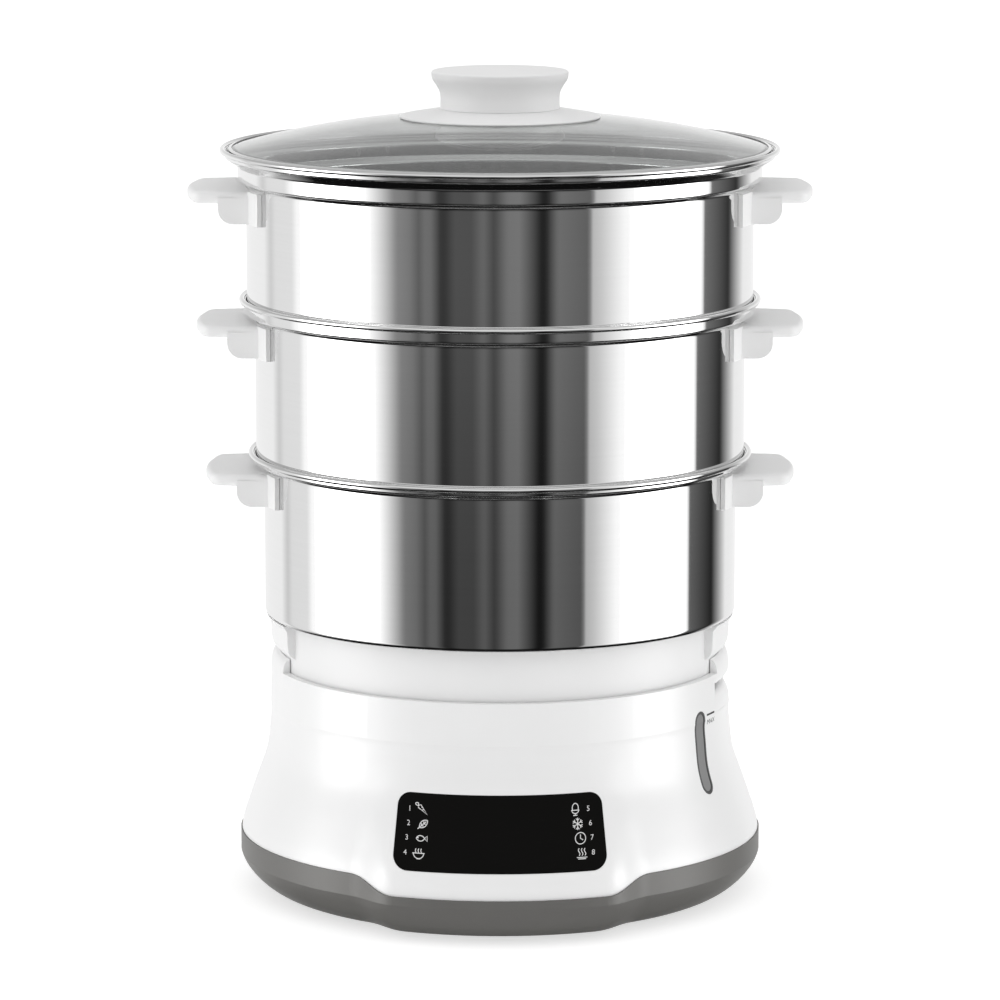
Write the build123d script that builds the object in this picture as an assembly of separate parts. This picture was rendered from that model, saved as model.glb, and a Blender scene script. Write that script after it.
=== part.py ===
"""Electric food steamer with three stacked steel baskets on a white base.

The frame stands on the worktop at z = 0 with the stack axis along +Z. The
front, with the control panel, faces -Y, and the water inlet is on the +X side.
All sizes are in millimetres. Each piece is written to parts/NAME.step.
"""

import os
from math import cos, radians, sin, sqrt

from build123d import *

os.makedirs("parts", exist_ok=True)

# ---------------------------------------------------------------- clearances
LIFT_GAP = 0.1  # flat seat under a piece that lifts off
SLOPE_GAP = 0.3  # the same on a sloping seat
SLIP = 0.5  # radial room round a piece that lifts off
FIT = 0.1  # room between two fixed pieces

# --------------------------------------------------------------- base: shell
SHELL_TOP_R = 122.4
SHELL_TOP_Z = 122.3
SHELL_WALL = 2.6
SHELL_SPREAD = 16.4  # how much wider the shell is at its foot
SHELL_FOOT_R = SHELL_TOP_R + SHELL_SPREAD
RIM_WIDTH = 3.9  # thicker rim at the top of the shell
RIM_DEPTH = 6.8
RIM_LIP_R = SHELL_TOP_R - RIM_WIDTH
RIM_LIP_Z = SHELL_TOP_Z - RIM_DEPTH
SHOULDER_RISE = 7.5  # raised rim at the two sides
SHOULDER_TOP_Z = SHELL_TOP_Z + SHOULDER_RISE
SHOULDER_HALF_DEG = 20.5
SEAM_Z = 31.7  # joint of shell and skirt
SEAM_DIP = 7.3  # the joint drops by this much at the front
BULGE = 8.2  # how far the front stands proud of the round base
BULGE_FRONT_DEG = 22.0  # the bulge is full out to this angle
BULGE_SIDE_DEG = 34.0  # and gone at this one
FLARE_LOW_Z = 20.0  # the flared part runs from inside the skirt
FLARE_TOP_Z = SHELL_TOP_Z - 22.3  # up to the straight upper part

# what is left of the shell's flare and front bulge at even steps up that part
FLARE_SHARES = (1.0, 1.0, 0.89, 0.683, 0.47, 0.245, 0.105, 0.046, 0.03)
BULGE_SHARES = (1.0, 1.0, 1.0, 0.86, 0.58, 0.26, 0.08, 0.01, 0.0)

# --------------------------------------------------------------- base: skirt
FOOT_HEIGHT = 2.0  # feet below the skirt
SKIRT_STEP = 0.6  # the skirt stands proud of the shell
SKIRT_RADIUS = SHELL_FOOT_R + SKIRT_STEP
SKIRT_FLANK_Z = 20.0  # the skirt is upright above this height
SKIRT_TUCK = 17.4  # how far the skirt curls in at its lower edge
SKIRT_INNER_TUCK = 12.2  # and how far its inside does
SKIRT_WALL = 3.0
# share of the curled part's height, and what is left there of its tuck
SKIRT_CURL = ((0.0, 1.00), (0.11, 0.76), (0.33, 0.46), (0.61, 0.20), (1.0, 0.0))
GLAND_Z = SKIRT_FLANK_Z + 1.5
GLAND_R = 7.0
GLAND_BORE_R = 3.6
GLAND_LENGTH = 12.0
GLAND_COLLAR = 1.5

# ----------------------------------------------- base: cover, feet and screws
COVER_THICK = 2.5
COVER_ROOM = 2.7
COVER_RADIUS = SKIRT_RADIUS - SKIRT_WALL - SKIRT_INNER_TUCK - COVER_ROOM
COVER_Z = FOOT_HEIGHT + SKIRT_WALL + FIT
COVER_TOP_Z = COVER_Z + COVER_THICK
COVER_LAP = 10.5  # of the cover on the skirt's bottom flange
SKIRT_FLANGE_R = COVER_RADIUS - COVER_LAP
VENT_SIZE = (40.0, 4.0)
VENT_PITCH = 9.0
VENT_FORWARD = 60.0
FOOT_R = 9.0
FOOT_STEM_R = 4.5
FOOT_SOCKET = 2.0
FOOT_RING_R = SKIRT_FLANGE_R - FOOT_R - 2.0
FOOT_ANGLES = (45, 135, 225, 315)
PILLAR_R = 5.0
BOSS_R = 4.4
BOSS_RING_R = SHELL_TOP_R - BOSS_R
BOSS_TOP_Z = SHELL_TOP_Z - 26.3
BOSS_ANGLES = (50, 130, 230, 310)
BOLT_R = 1.5
BOLT_HEAD_R = 3.2
BOLT_HEAD = 2.0
BOLT_LENGTH = 18.0

# --------------------------------------------------------------- water parts
TANK_MARGIN = 8.5  # between the tank's bore and the shell's rim
TANK_BORE = RIM_LIP_R - TANK_MARGIN
TANK_WALL = 2.0
TANK_FLOOR_Z = 50.0
TANK_FLOOR = 2.5
TANK_CORNER = 14.0
TANK_FLANGE = 2.5
TANK_FLANGE_R = RIM_LIP_R + 0.8
PILLAR_RING_R = TANK_BORE - 30.0
INLET_HALF_DEG = 22.4
INLET_FLOOR_Z = SHELL_TOP_Z - 20.3  # lower edge of the inlet cut in the shell
INLET_CREST = 9.2  # height of the inlet's crest over that edge
INLET_WALL = 2.2
WINDOW_ANGLE = -31.1  # degrees round from +X
WINDOW_WIDTH = 10.7
WINDOW_LENGTH = 43.4
WINDOW_TOP_Z = SHELL_TOP_Z - 16.3
GASKET_WIDTH = 1.3
TURBO_R = 62.0
TURBO_WALL = 2.0
TURBO_HEIGHT = 36.0
TURBO_BRIM = 8.0
TURBO_SLOT = (12.0, 14.0, 16.0)

# -------------------------------------------------------------------- heater
PLATE_R = 45.0
PLATE_RISE = 6.0  # top of the plate above the tank's outer floor
PLATE_THICK = 1.0
HEATER_FLANGE = 9.0
SEAL_THICK = 2.4
SEAL_LOW_Z = TANK_FLOOR_Z - SEAL_THICK
CLAMP_THICK = 2.0
CLAMP_REACH = 8.0
CLAMP_TOP_Z = SEAL_LOW_Z - PLATE_THICK
CLAMP_SCREW_R = PLATE_R + HEATER_FLANGE + CLAMP_REACH / 2 + 1
CLAMP_BORE_R = 1.2
CLAMP_DEPTH = 4.5
SPREADER_THICK = 4.0
SPREADER_TOP_Z = TANK_FLOOR_Z + PLATE_RISE - PLATE_THICK
SPREADER_LOW_Z = SPREADER_TOP_Z - SPREADER_THICK
ELEMENT_R = 30.0
ELEMENT_TUBE_R = 4.0
ELEMENT_START = 110.0  # angle of its first end
ELEMENT_ARC = 320.0
ELEMENT_DROP = 14.0  # length of the cold ends
ELEMENT_Z = SPREADER_LOW_Z - ELEMENT_TUBE_R
ELEMENT_END_Z = ELEMENT_Z - ELEMENT_DROP
THERMOSTAT_R = 8.0
THERMOSTAT_HEIGHT = 9.0

# ------------------------------------------------- control panel and boards
PANEL_TOP_Z = 75.2
PANEL_BOTTOM_Z = 38.6
PANEL_TOP_WIDTH = 104.0
PANEL_BOTTOM_WIDTH = 111.0
PANEL_CORNER = 7.0
PANEL_PROUD = 0.15
PANEL_DEPTH = 1.4
BOARD_THICK = 1.6
STAND_R = 3.0
CONTROL_BOARD = (78.0, 26.0)
CONTROL_TILT = 25.0
CONTROL_INSET = 20.5  # behind the front of the base
CONTROL_Y = CONTROL_INSET - SHELL_FOOT_R - BULGE
CONTROL_DROP = 10.9  # below the middle of the panel
CONTROL_Z = (PANEL_TOP_Z + PANEL_BOTTOM_Z) / 2 - CONTROL_DROP
DISPLAY_SIZE = (44.0, 16.0, 6.0)
POWER_BOARD = (74.0, 46.0)
POWER_Y = COVER_RADIUS - 47.5
POWER_Z = COVER_TOP_Z + 5.4
TERMINAL = (40.0, 10.0, 10.0)
TERMINAL_BACK = 15.0
# middle on the board, and size, of the relay and of the transformer
BLOCKS = (((-22.0, 8.0), (19.0, 15.5, 15.0)), ((20.0, 9.0), (18.0, 16.0, 12.0)))
CAPACITOR_R = 5.0
CAPACITOR_HEIGHT = 12.0
WIRE_R = 1.3

# ----------------------------------------------------------- juice collector
COLLECTOR_R = RIM_LIP_R - SLIP
COLLECTOR_WALL = 2.2
COLLECTOR_HEIGHT = 33.5
COLLECTOR_TOP_Z = RIM_LIP_Z + COLLECTOR_HEIGHT
GRIP_REACH = 6.6
GRIP_R = COLLECTOR_R + GRIP_REACH
GRIP_HALF_DEG = 24.0
CHIMNEY_R = 36.0
CHIMNEY_DROP = 6.0  # top of the chimney below the top of the tray
FUNNEL_DEPTH = 9.0

# ------------------------------------------------------------------- baskets
SHEET = 0.8  # steel sheet
BASKET_OVERHANG = 7.5  # over the collector
BASKET_RADIUS = COLLECTOR_R + BASKET_OVERHANG  # outside of the lowest basket
NEST_STEP = 4.3  # each basket is this much larger than the one below
WALL_HEIGHTS = (81.5, 78.35, 70.15)  # bottom to the middle of the ledge
COLLAR_HEIGHTS = (4.3, 7.6, 16.15)  # ledge to the middle of the rim
BEAD_RS = (1.6, 1.6, 1.5)
BASKET_CORNER = 3.0
LEDGE_WIDTH = NEST_STEP + SLIP + SHEET
LEDGE_DROP = 1.1  # the ledge slopes down to the wall by this much
LEDGE_RISE = 1.9  # and up to the collar by this much in all
BOTTOM_RING = 11.0  # width of the ring that the grid rests on
GRID_THICK = 1.0
GRID_RISE = 4.0
GRID_RIM = 14.0
GRID_HOLE_R = 4.0
GRID_RINGS = ((22.0, 6), (44.0, 12), (66.0, 18), (88.0, 24))

# the top basket has a second, wider collar for the lid
TOP_COLLAR = 4.4  # the first collar stands out by this much
TOP_COLLAR_HEIGHT = 8.4
TOP_SHELF = 6.8  # and the second one by this much more
TOP_SHELF_RISE = 4.3


def nest_height():
    """Ledge to the bottom of the basket whose rounded corner rests on it."""
    slope = LEDGE_RISE / LEDGE_WIDTH
    corner = (BASKET_CORNER + SHEET + LIFT_GAP) * sqrt(1 + slope**2) - BASKET_CORNER
    return corner - LEDGE_DROP + (NEST_STEP - BASKET_CORNER) * slope


def basket_sizes():
    """Wall radius, bottom, ledge and rim heights of each basket, lowest first."""
    sizes = []
    bottom = COLLECTOR_TOP_Z + LIFT_GAP
    for index, (wall, collar) in enumerate(zip(WALL_HEIGHTS, COLLAR_HEIGHTS)):
        ledge = bottom + wall
        sizes.append((BASKET_RADIUS + index * NEST_STEP, bottom, ledge, ledge + collar))
        bottom = ledge + nest_height()
    return sizes


BASKETS = basket_sizes()
TOP = len(BASKETS) - 1
TOP_RADIUS, _, TOP_LEDGE_Z, _ = BASKETS[TOP]
TOP_COLLAR_R = TOP_RADIUS + TOP_COLLAR
TOP_SHELF_R = TOP_COLLAR_R + TOP_SHELF
TOP_SHELF_Z = TOP_LEDGE_Z + TOP_COLLAR_HEIGHT

# ------------------------------------------------------------------- handles
HANDLE_DROP = 2.8  # top face below the basket's ledge
HANDLE_REACH = 31.0
HANDLE_THICK = 6.5
HANDLE_HALF_WIDTH = 38.8
HANDLE_TIP_R = 9.5
HANDLE_TAPER = 3.8
HANDLE_NOSE = 1.2  # the tip's edge is curved by this much
HANDLE_ROUND = 2.4
BLOCK_DEPTH = 17.0  # plate top to the underside of the block
BLOCK_REACH = 13.0
BLOCK_CORNER = 8.0
PAD_THICK = 2.6
PAD_HALF_DEG = 23.0
SCREW_R = 1.5
SCREW_LENGTH = 9.0
SCREW_HEAD_R = 3.0
SCREW_HEAD = 1.6
SCREW_HALF_DEG = 11.0

# ----------------------------------------------------------------------- lid
RING_ROOM = 1.2  # between the lid's ring and the collar round it
RING_SHEET = 0.5
RING_LIP = 1.2  # of the ring over the glass
RING_R = TOP_SHELF_R - SHEET - RING_ROOM
GLASS_R = RING_R - RING_SHEET - FIT
GLASS_THICK = 3.5
GLASS_SPHERE_R = 560.0
GLASS_EDGE_RISE = 8.21  # edge of the glass over the foot of the shelf
GLASS_MIDDLE_Z = TOP_SHELF_Z + GLASS_EDGE_RISE - sqrt(GLASS_SPHERE_R**2 - GLASS_R**2)
GLASS_CROWN_Z = GLASS_MIDDLE_Z + GLASS_SPHERE_R
GLASS_HOLE_R = 4.0
FLANGE_R = 53.0
FLANGE_EDGE = 1.1
FLANGE_TOP_Z = GLASS_CROWN_Z + 2.3
KNOB_HEIGHT = 21.1
KNOB_EDGE_R = 36.2
KNOB_EDGE = 3.2  # depth of the upright edge and its rounding
KNOB_CORNER = 1.2
KNOB_CROWN = 1.1
KNOB_NECK_R = 31.5
KNOB_NECK = 5.5
KNOB_SCREW_R = 2.5
KNOB_SCREW_DEPTH = 12.0
KNOB_SEAL_R = 9.0
KNOB_SEAL = 1.5

DEEP = 400.0  # longer than any piece, for cutting right through


def save(name, piece):
    """Write one piece of the steamer as a STEP file."""
    solids = piece.solids()
    body = solids[0] if len(solids) == 1 else Compound(children=list(solids))
    body.label = name
    export_step(body, f"parts/{name}.step")


def around(radius, degrees, z=0.0):
    """A point at an angle from +X, counter-clockwise seen from above."""
    return (radius * cos(radians(degrees)), radius * sin(radians(degrees)), z)


def disc(radius, low, high):
    """A round plate between two heights."""
    return Pos(0, 0, (low + high) / 2) * Cylinder(radius, high - low)


def ring(outer, inner, low, high):
    """A flat ring between two heights."""
    return disc(outer, low, high) - disc(inner, low - 1, high + 1)


def spun(outline, degrees=360.0, middle=0.0):
    """Turn an outline in (radius, height) about the stack axis."""
    face = Plane.XZ * make_face(outline)
    turned = revolve(face, Axis.Z, revolution_arc=degrees)
    return Rot(0, 0, middle - degrees / 2) * turned


def closed(points):
    """A closed outline of straight runs through (radius, height) points."""
    return Polyline(*points, close=True)


def sheet_outline(points, radii, thickness):
    """The closed outline of bent sheet, from one face's line and its bends."""
    line = FilletPolyline(*points, radius=radii)
    return offset(line, amount=thickness, side=Side.LEFT).edges()


# ------------------------------------------------------------ base: the form
def plan_outline(radius, bulge, z):
    """The base seen from above: a circle that swells smoothly at the front."""

    def at(degrees, r):
        return (r * sin(radians(degrees)), -r * cos(radians(degrees)))

    def along(degrees):
        return (cos(radians(degrees)), sin(radians(degrees)))

    inner, outer = BULGE_FRONT_DEG, BULGE_SIDE_DEG
    full = radius + bulge
    front = ThreePointArc(at(-inner, full), at(0, full), at(inner, full))
    right = Spline(at(inner, full), at(outer, radius), tangents=[along(inner), along(outer)])
    back = ThreePointArc(at(outer, radius), at(180, radius), at(-outer, radius))
    left = Spline(at(-outer, radius), at(-inner, full), tangents=[along(-outer), along(-inner)])
    return Pos(0, 0, z) * Face(Wire([front, right, back, left]))


def shell_form(grow=0.0):
    """The shell's outside as a solid, grown or shrunk evenly in plan."""
    step = (FLARE_TOP_Z - FLARE_LOW_Z) / (len(FLARE_SHARES) - 1)
    sections = []
    for number, (flared, bulged) in enumerate(zip(FLARE_SHARES, BULGE_SHARES)):
        radius = SHELL_TOP_R + SHELL_SPREAD * flared + grow
        sections.append(plan_outline(radius, BULGE * bulged, FLARE_LOW_Z + step * number))
    top = plan_outline(SHELL_TOP_R + grow, 0.0, SHELL_TOP_Z)
    return loft(sections) + loft([sections[-1], top], ruled=True)


def skirt_form(grow=0.0, lift=0.0, tuck_in=SKIRT_TUCK):
    """The skirt's outside as a solid, grown or shrunk evenly in plan."""
    radius = SKIRT_RADIUS + grow
    curled = SKIRT_FLANK_Z - FOOT_HEIGHT
    sections = []
    for share, tuck in SKIRT_CURL:
        z = FOOT_HEIGHT + lift + (curled - lift) * share
        sections.append(plan_outline(radius - tuck_in * tuck, BULGE, z))
    lower = loft(sections)
    top = [plan_outline(radius, BULGE, z) for z in (SKIRT_FLANK_Z, SEAM_Z + 1)]
    return lower + loft(top, ruled=True)


def seam_block(side, gap=0.0):
    """Everything above (+1) or below (-1) the joint line with its front dip."""
    flat = (SKIRT_RADIUS + BULGE) * sin(radians(BULGE_FRONT_DEG))
    edge = SKIRT_RADIUS * sin(radians(BULGE_SIDE_DEG))
    high = SEAM_Z + gap
    low = high - SEAM_DIP
    far = high + side * DEEP / 2
    level = (1, 0)
    outline = [
        Line((-DEEP / 2, high), (-edge, high)),
        Spline((-edge, high), (-flat, low), tangents=[level, level]),
        Line((-flat, low), (flat, low)),
        Spline((flat, low), (edge, high), tangents=[level, level]),
        Line((edge, high), (DEEP / 2, high)),
        Polyline((DEEP / 2, high), (DEEP / 2, far), (-DEEP / 2, far), (-DEEP / 2, high)),
    ]
    front = extrude(Plane.XZ * make_face(outline), DEEP / 2)
    back = Pos(0, DEEP / 4, (high + far) / 2) * Box(DEEP, DEEP / 2, DEEP / 2)
    return front + back


def panel_prism(gap=0.0):
    """The control panel's outline, drawn through the front of the base."""
    low, high = PANEL_BOTTOM_Z - gap, PANEL_TOP_Z + gap
    bottom, top = PANEL_BOTTOM_WIDTH / 2 + gap, PANEL_TOP_WIDTH / 2 + gap
    corners = [(-bottom, low), (bottom, low), (top, high), (-top, high)]
    outline = FilletPolyline(*corners, radius=PANEL_CORNER + gap, close=True)
    return extrude(Plane.XZ * make_face(outline), DEEP / 2)


def window_prism(shrink, start, reach=DEEP / 2):
    """The level window's slot outline, drawn out from the stack axis."""
    slot = SlotOverall(WINDOW_LENGTH - 2 * shrink, WINDOW_WIDTH - 2 * shrink, rotation=90)
    prism = extrude(Plane.YZ * slot, reach)
    return Rot(0, 0, WINDOW_ANGLE) * Pos(start, 0, WINDOW_TOP_Z - WINDOW_LENGTH / 2) * prism


def turned(piece, angles):
    """Copies of a piece at several angles about the stack axis."""
    return [Rot(0, 0, angle) * piece for angle in angles]


# ------------------------------------------------------- base: outer pieces
def base_shell():
    """White housing with panel recess, window slot, inlet and screw bosses."""
    recess = panel_prism(FIT) - shell_form(-PANEL_DEPTH - FIT)
    slot = window_prism(-FIT, TANK_BORE)
    shell = shell_form() - [shell_form(-SHELL_WALL), seam_block(-1, FIT), recess, slot]
    height = BOSS_TOP_Z - COVER_TOP_Z - FIT
    post = Pos(BOSS_RING_R, 0, BOSS_TOP_Z - height / 2) * Cylinder(BOSS_R, height)
    rim = ring((SHELL_TOP_R + RIM_LIP_R) / 2 + 1, RIM_LIP_R, RIM_LIP_Z, SHELL_TOP_Z)
    added = [rim, shoulder(0), shoulder(180)] + turned(post, BOSS_ANGLES) + board_stands()
    bore = Pos(BOSS_RING_R, 0, COVER_TOP_Z) * Cylinder(BOLT_R, 2 * BOLT_LENGTH)
    return shell + added - ([inlet_cut()] + turned(bore, BOSS_ANGLES))


def board_stands():
    """Two stand-offs from the shell's front wall to the control board."""
    inside = shell_form(-(SHELL_WALL + PANEL_DEPTH) / 2)
    reach = 2 * CONTROL_INSET
    middle = CONTROL_BOARD[0] / 2 - 2 * STAND_R
    post = Cylinder(STAND_R, reach)
    return [
        (board_frame() * Pos(x, 0, (BOARD_THICK + reach) / 2) * post) & inside
        for x in (-middle, middle)
    ]


def shoulder(middle):
    """Raised, rounded rim over one side of the shell."""
    low, start = SHELL_TOP_Z - RIM_DEPTH / 2, (SHELL_TOP_R, SHELL_TOP_Z - 1)
    crest = (RIM_LIP_R, SHOULDER_TOP_Z)
    outline = [
        Line((RIM_LIP_R, low), (SHELL_TOP_R, low)),
        Line((SHELL_TOP_R, low), start),
        Spline(start, crest, tangents=[(0, 1), (-1, 0.35)]),
        Line(crest, (RIM_LIP_R, low)),
    ]
    return spun(outline, 2 * SHOULDER_HALF_DEG, middle)


def inlet_cut():
    """The mouth of the water inlet, with a rounded bar left above it."""
    inside, outside = TANK_FLANGE_R - 2 * TANK_WALL, SHELL_TOP_R + 2 * FIT + SHELL_WALL
    bar = (SHELL_TOP_R + 1, SHELL_TOP_Z - 1)
    outline = [
        Line((inside, INLET_FLOOR_Z), (outside, INLET_FLOOR_Z)),
        Line((outside, INLET_FLOOR_Z), (outside, bar[1])),
        Line((outside, bar[1]), bar),
        Spline(bar, (RIM_LIP_R, RIM_LIP_Z), tangents=[(-0.3, -1), (-1, -0.2)]),
        Line((RIM_LIP_R, RIM_LIP_Z), (inside, RIM_LIP_Z)),
        Line((inside, RIM_LIP_Z), (inside, INLET_FLOOR_Z)),
    ]
    return spun(outline, 2 * INLET_HALF_DEG)


def base_skirt():
    """Grey lower moulding, open below inside its bottom flange."""
    inside = skirt_form(-SKIRT_WALL, SKIRT_WALL, SKIRT_INNER_TUCK)
    opening = disc(SKIRT_FLANGE_R, 0, COVER_Z)
    shank = Pos(BOSS_RING_R, 0, 0) * Cylinder(BOLT_R + FIT, 4 * SKIRT_WALL)
    pocket = Pos(BOSS_RING_R, 0, FOOT_HEIGHT) * Cylinder(BOLT_HEAD_R + 3 * FIT, 2 * BOLT_HEAD)
    gland = Pos(0, SKIRT_RADIUS, GLAND_Z) * Rot(90, 0, 0)
    gland *= Cylinder(GLAND_R + FIT, 3 * GLAND_LENGTH)
    cuts = [inside, opening, seam_block(1), gland]
    return skirt_form() - (cuts + turned(shank + pocket, BOSS_ANGLES))


def cord_gland():
    """Bush in the rear of the skirt where a mains cord would enter."""
    middle = SKIRT_RADIUS - SKIRT_WALL
    collar = Cylinder(GLAND_R + GLAND_COLLAR, 2.0)
    barrel = Cylinder(GLAND_R, GLAND_LENGTH) + Pos(0, 0, 1 - GLAND_LENGTH / 2) * collar
    barrel -= Cylinder(GLAND_BORE_R, GLAND_LENGTH + 2)
    return Pos(0, middle, GLAND_Z) * Rot(-90, 0, 0) * barrel


def bottom_cover():
    """Round cover inside the skirt, with pillars under the tank and vents."""
    cover = disc(COVER_RADIUS, COVER_Z, COVER_TOP_Z)
    height = TANK_FLOOR_Z - COVER_TOP_Z - LIFT_GAP
    pillar = Pos(PILLAR_RING_R, 0, COVER_TOP_Z + height / 2) * Cylinder(PILLAR_R, height)
    for post in turned(pillar, FOOT_ANGLES):
        cover += post
    rise = POWER_Z - COVER_TOP_Z
    wide, long = (size / 2 - STAND_R - 2 for size in POWER_BOARD)
    for x in (-wide, wide):
        for y in (POWER_Y - long, POWER_Y + long):
            cover += Pos(x, y, COVER_TOP_Z + rise / 2) * Cylinder(STAND_R, rise)
    bore = Pos(BOSS_RING_R, 0, COVER_Z) * Cylinder(BOLT_R + FIT, 4 * COVER_THICK)
    for hole in turned(bore, BOSS_ANGLES):
        cover -= hole
    socket = Pos(FOOT_RING_R, 0, COVER_Z) * Cylinder(FOOT_STEM_R + FIT, 2 * FOOT_SOCKET)
    for hole in turned(socket, FOOT_ANGLES):
        cover -= hole
    vent = extrude(SlotOverall(*VENT_SIZE, rotation=90), 4 * COVER_THICK, both=True)
    for step in range(-3, 4):
        cover -= Pos(step * VENT_PITCH, -VENT_FORWARD, COVER_Z) * vent
    return cover


def rubber_feet():
    """Four rubber feet pushed into sockets of the bottom cover."""
    pad = Pos(FOOT_RING_R, 0, COVER_Z / 2) * Cylinder(FOOT_R, COVER_Z)
    pad = fillet(pad.edges().group_by(Axis.Z)[0], 1.0)
    length = FOOT_SOCKET - 2 * FIT
    stem = Pos(FOOT_RING_R, 0, COVER_Z + length / 2) * Cylinder(FOOT_STEM_R, length)
    return Compound(children=turned(pad + stem, FOOT_ANGLES))


def bottom_screws():
    """Screws from below through skirt and cover into the shell's bosses."""
    seat = FOOT_HEIGHT + BOLT_HEAD
    thick = BOLT_HEAD - FIT
    head = Pos(BOSS_RING_R, 0, seat - BOLT_HEAD / 2 - FIT) * Cylinder(BOLT_HEAD_R, thick)
    shank = Cylinder(BOLT_R - FIT / 2, BOLT_LENGTH)
    shank = Pos(BOSS_RING_R, 0, seat + BOLT_LENGTH / 2 - 1) * shank
    return Compound(children=turned(head + shank, BOSS_ANGLES))


# --------------------------------------------------------- base: water parts
def water_tank():
    """Bowl for the water, hung by its flange and carried by the pillars."""
    outer, top = TANK_BORE + TANK_WALL, RIM_LIP_Z - FIT
    bowl = disc(outer, TANK_FLOOR_Z, top)
    bowl = fillet(bowl.edges().group_by(Axis.Z)[0], TANK_CORNER)
    core = disc(TANK_BORE, TANK_FLOOR_Z + TANK_FLOOR, top + 1)
    core = fillet(core.edges().group_by(Axis.Z)[0], TANK_CORNER - TANK_WALL)
    tank = bowl + ring(TANK_FLANGE_R, TANK_BORE, top - TANK_FLANGE, top) - core
    tank -= disc(PLATE_R + SLIP, TANK_FLOOR_Z - 1, TANK_FLOOR_Z + TANK_FLOOR + 1)
    inside, notch = TANK_BORE - TANK_WALL, INLET_FLOOR_Z + TANK_WALL
    corners = ((inside, notch), (DEEP / 2, notch), (DEEP / 2, top + 1), (inside, top + 1))
    tank -= spun(closed(corners), 2 * INLET_HALF_DEG + 1)
    tank -= window_prism(GASKET_WIDTH - FIT, inside, TANK_MARGIN)
    for boss in turned(clamp_boss(), FOOT_ANGLES):
        tank += boss
    for bore in turned(clamp_bore(), FOOT_ANGLES):
        tank -= bore
    return tank


def clamp_boss():
    """Boss under the tank for one screw of the heater's clamp ring."""
    height = TANK_FLOOR_Z - CLAMP_TOP_Z - FIT
    return Pos(CLAMP_SCREW_R, 0, TANK_FLOOR_Z - height / 2) * Cylinder(3 * CLAMP_BORE_R, height)


def clamp_bore():
    """Blind hole for one clamp screw, measured up from the clamp ring."""
    hole = Cylinder(CLAMP_BORE_R, CLAMP_DEPTH)
    return Pos(CLAMP_SCREW_R, 0, CLAMP_TOP_Z + CLAMP_DEPTH / 2) * hole


def water_inlet():
    """Rounded lip that carries water over the tank's edge at the side."""
    foot = (SHELL_TOP_R + 4 * FIT, INLET_FLOOR_Z + FIT)
    crest = (foot[0] - 4.9, INLET_FLOOR_Z + INLET_CREST)
    tank = TANK_BORE - 2 * FIT
    spout = (tank - INLET_WALL, INLET_FLOOR_Z - 6)
    under = (crest[0] - 0.5, crest[1] - INLET_WALL)
    inner_foot = (foot[0] - INLET_WALL - 4 * FIT, foot[1])
    edge = (tank, INLET_FLOOR_Z + INLET_WALL)
    nose = (foot[0] - 1.6, crest[1] - 2.9)
    outline = [
        Spline(foot, nose, crest, tangents=[(0, 1), (-1, 0.15)]),
        Spline(crest, spout, tangents=[(-1, 0.15), (-0.1, -1)]),
        Line(spout, (tank, spout[1])),
        Line((tank, spout[1]), edge),
        Spline(edge, under, tangents=[(0.8, 1), (1, 0)]),
        Spline(under, inner_foot, tangents=[(1, 0), (0, -1)]),
        Line(inner_foot, foot),
    ]
    return spun(outline, 2 * INLET_HALF_DEG - 2 * FIT)


def level_gasket():
    """Dark seal round the level window."""
    band = window_prism(0, SHELL_TOP_R - SHELL_WALL - 2)
    band -= window_prism(GASKET_WIDTH, 0)
    return band & shell_form(FIT / 2)


def level_window():
    """Clear window with a hollow chamber that reaches back to the tank."""
    wall = 2.0
    body = window_prism(GASKET_WIDTH + FIT, TANK_BORE - wall / 2) & shell_form(-3 * FIT)
    hollow = window_prism(2 * GASKET_WIDTH, TANK_BORE - wall) & shell_form(-wall)
    return body - hollow


def juice_collector():
    """Drip tray under the baskets, with a steam chimney and two side grips."""
    floor, top, wall = RIM_LIP_Z, COLLECTOR_TOP_Z, COLLECTOR_WALL
    tray = disc(COLLECTOR_R, floor, top)
    tray -= disc(COLLECTOR_R - wall, floor + wall, top + 1)
    tray += disc(CHIMNEY_R, floor, top - CHIMNEY_DROP)
    tray -= disc(CHIMNEY_R - wall, floor - 1, top + 1)
    inner, start = COLLECTOR_R - 1, SHOULDER_TOP_Z + SLIP + FIT
    low, high = (GRIP_R - 2.4, start + 6), (GRIP_R - 1.9, top - 3)
    outline = [
        Spline((inner, start), low, tangents=[(1, 0.3), (0.1, 1)]),
        Line(low, high),
        Line(high, (GRIP_R, top - 0.6)),
        Line((GRIP_R, top - 0.6), (GRIP_R, top)),
        Line((GRIP_R, top), (inner, top)),
        Line((inner, top), (inner, start)),
    ]
    for side in (0, 180):
        tray += spun(outline, 2 * GRIP_HALF_DEG, side)
    funnel = TURBO_R + SLIP
    return tray + ring(funnel + TURBO_WALL, funnel, floor - FUNNEL_DEPTH, floor + 1)


def turbo_ring():
    """Loose ring that stands round the heater, with water slots at its foot."""
    low = TANK_FLOOR_Z + TANK_FLOOR + LIFT_GAP
    high = low + TURBO_HEIGHT
    inner = TURBO_R - TURBO_WALL
    wall = ring(TURBO_R, inner, low, high)
    wall += ring(TURBO_R, inner - TURBO_BRIM, high - TURBO_WALL, high)
    slot = Pos(inner, 0, low) * Box(*TURBO_SLOT)
    for cut in turned(slot, range(0, 360, 60)):
        wall -= cut
    return wall


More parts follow.
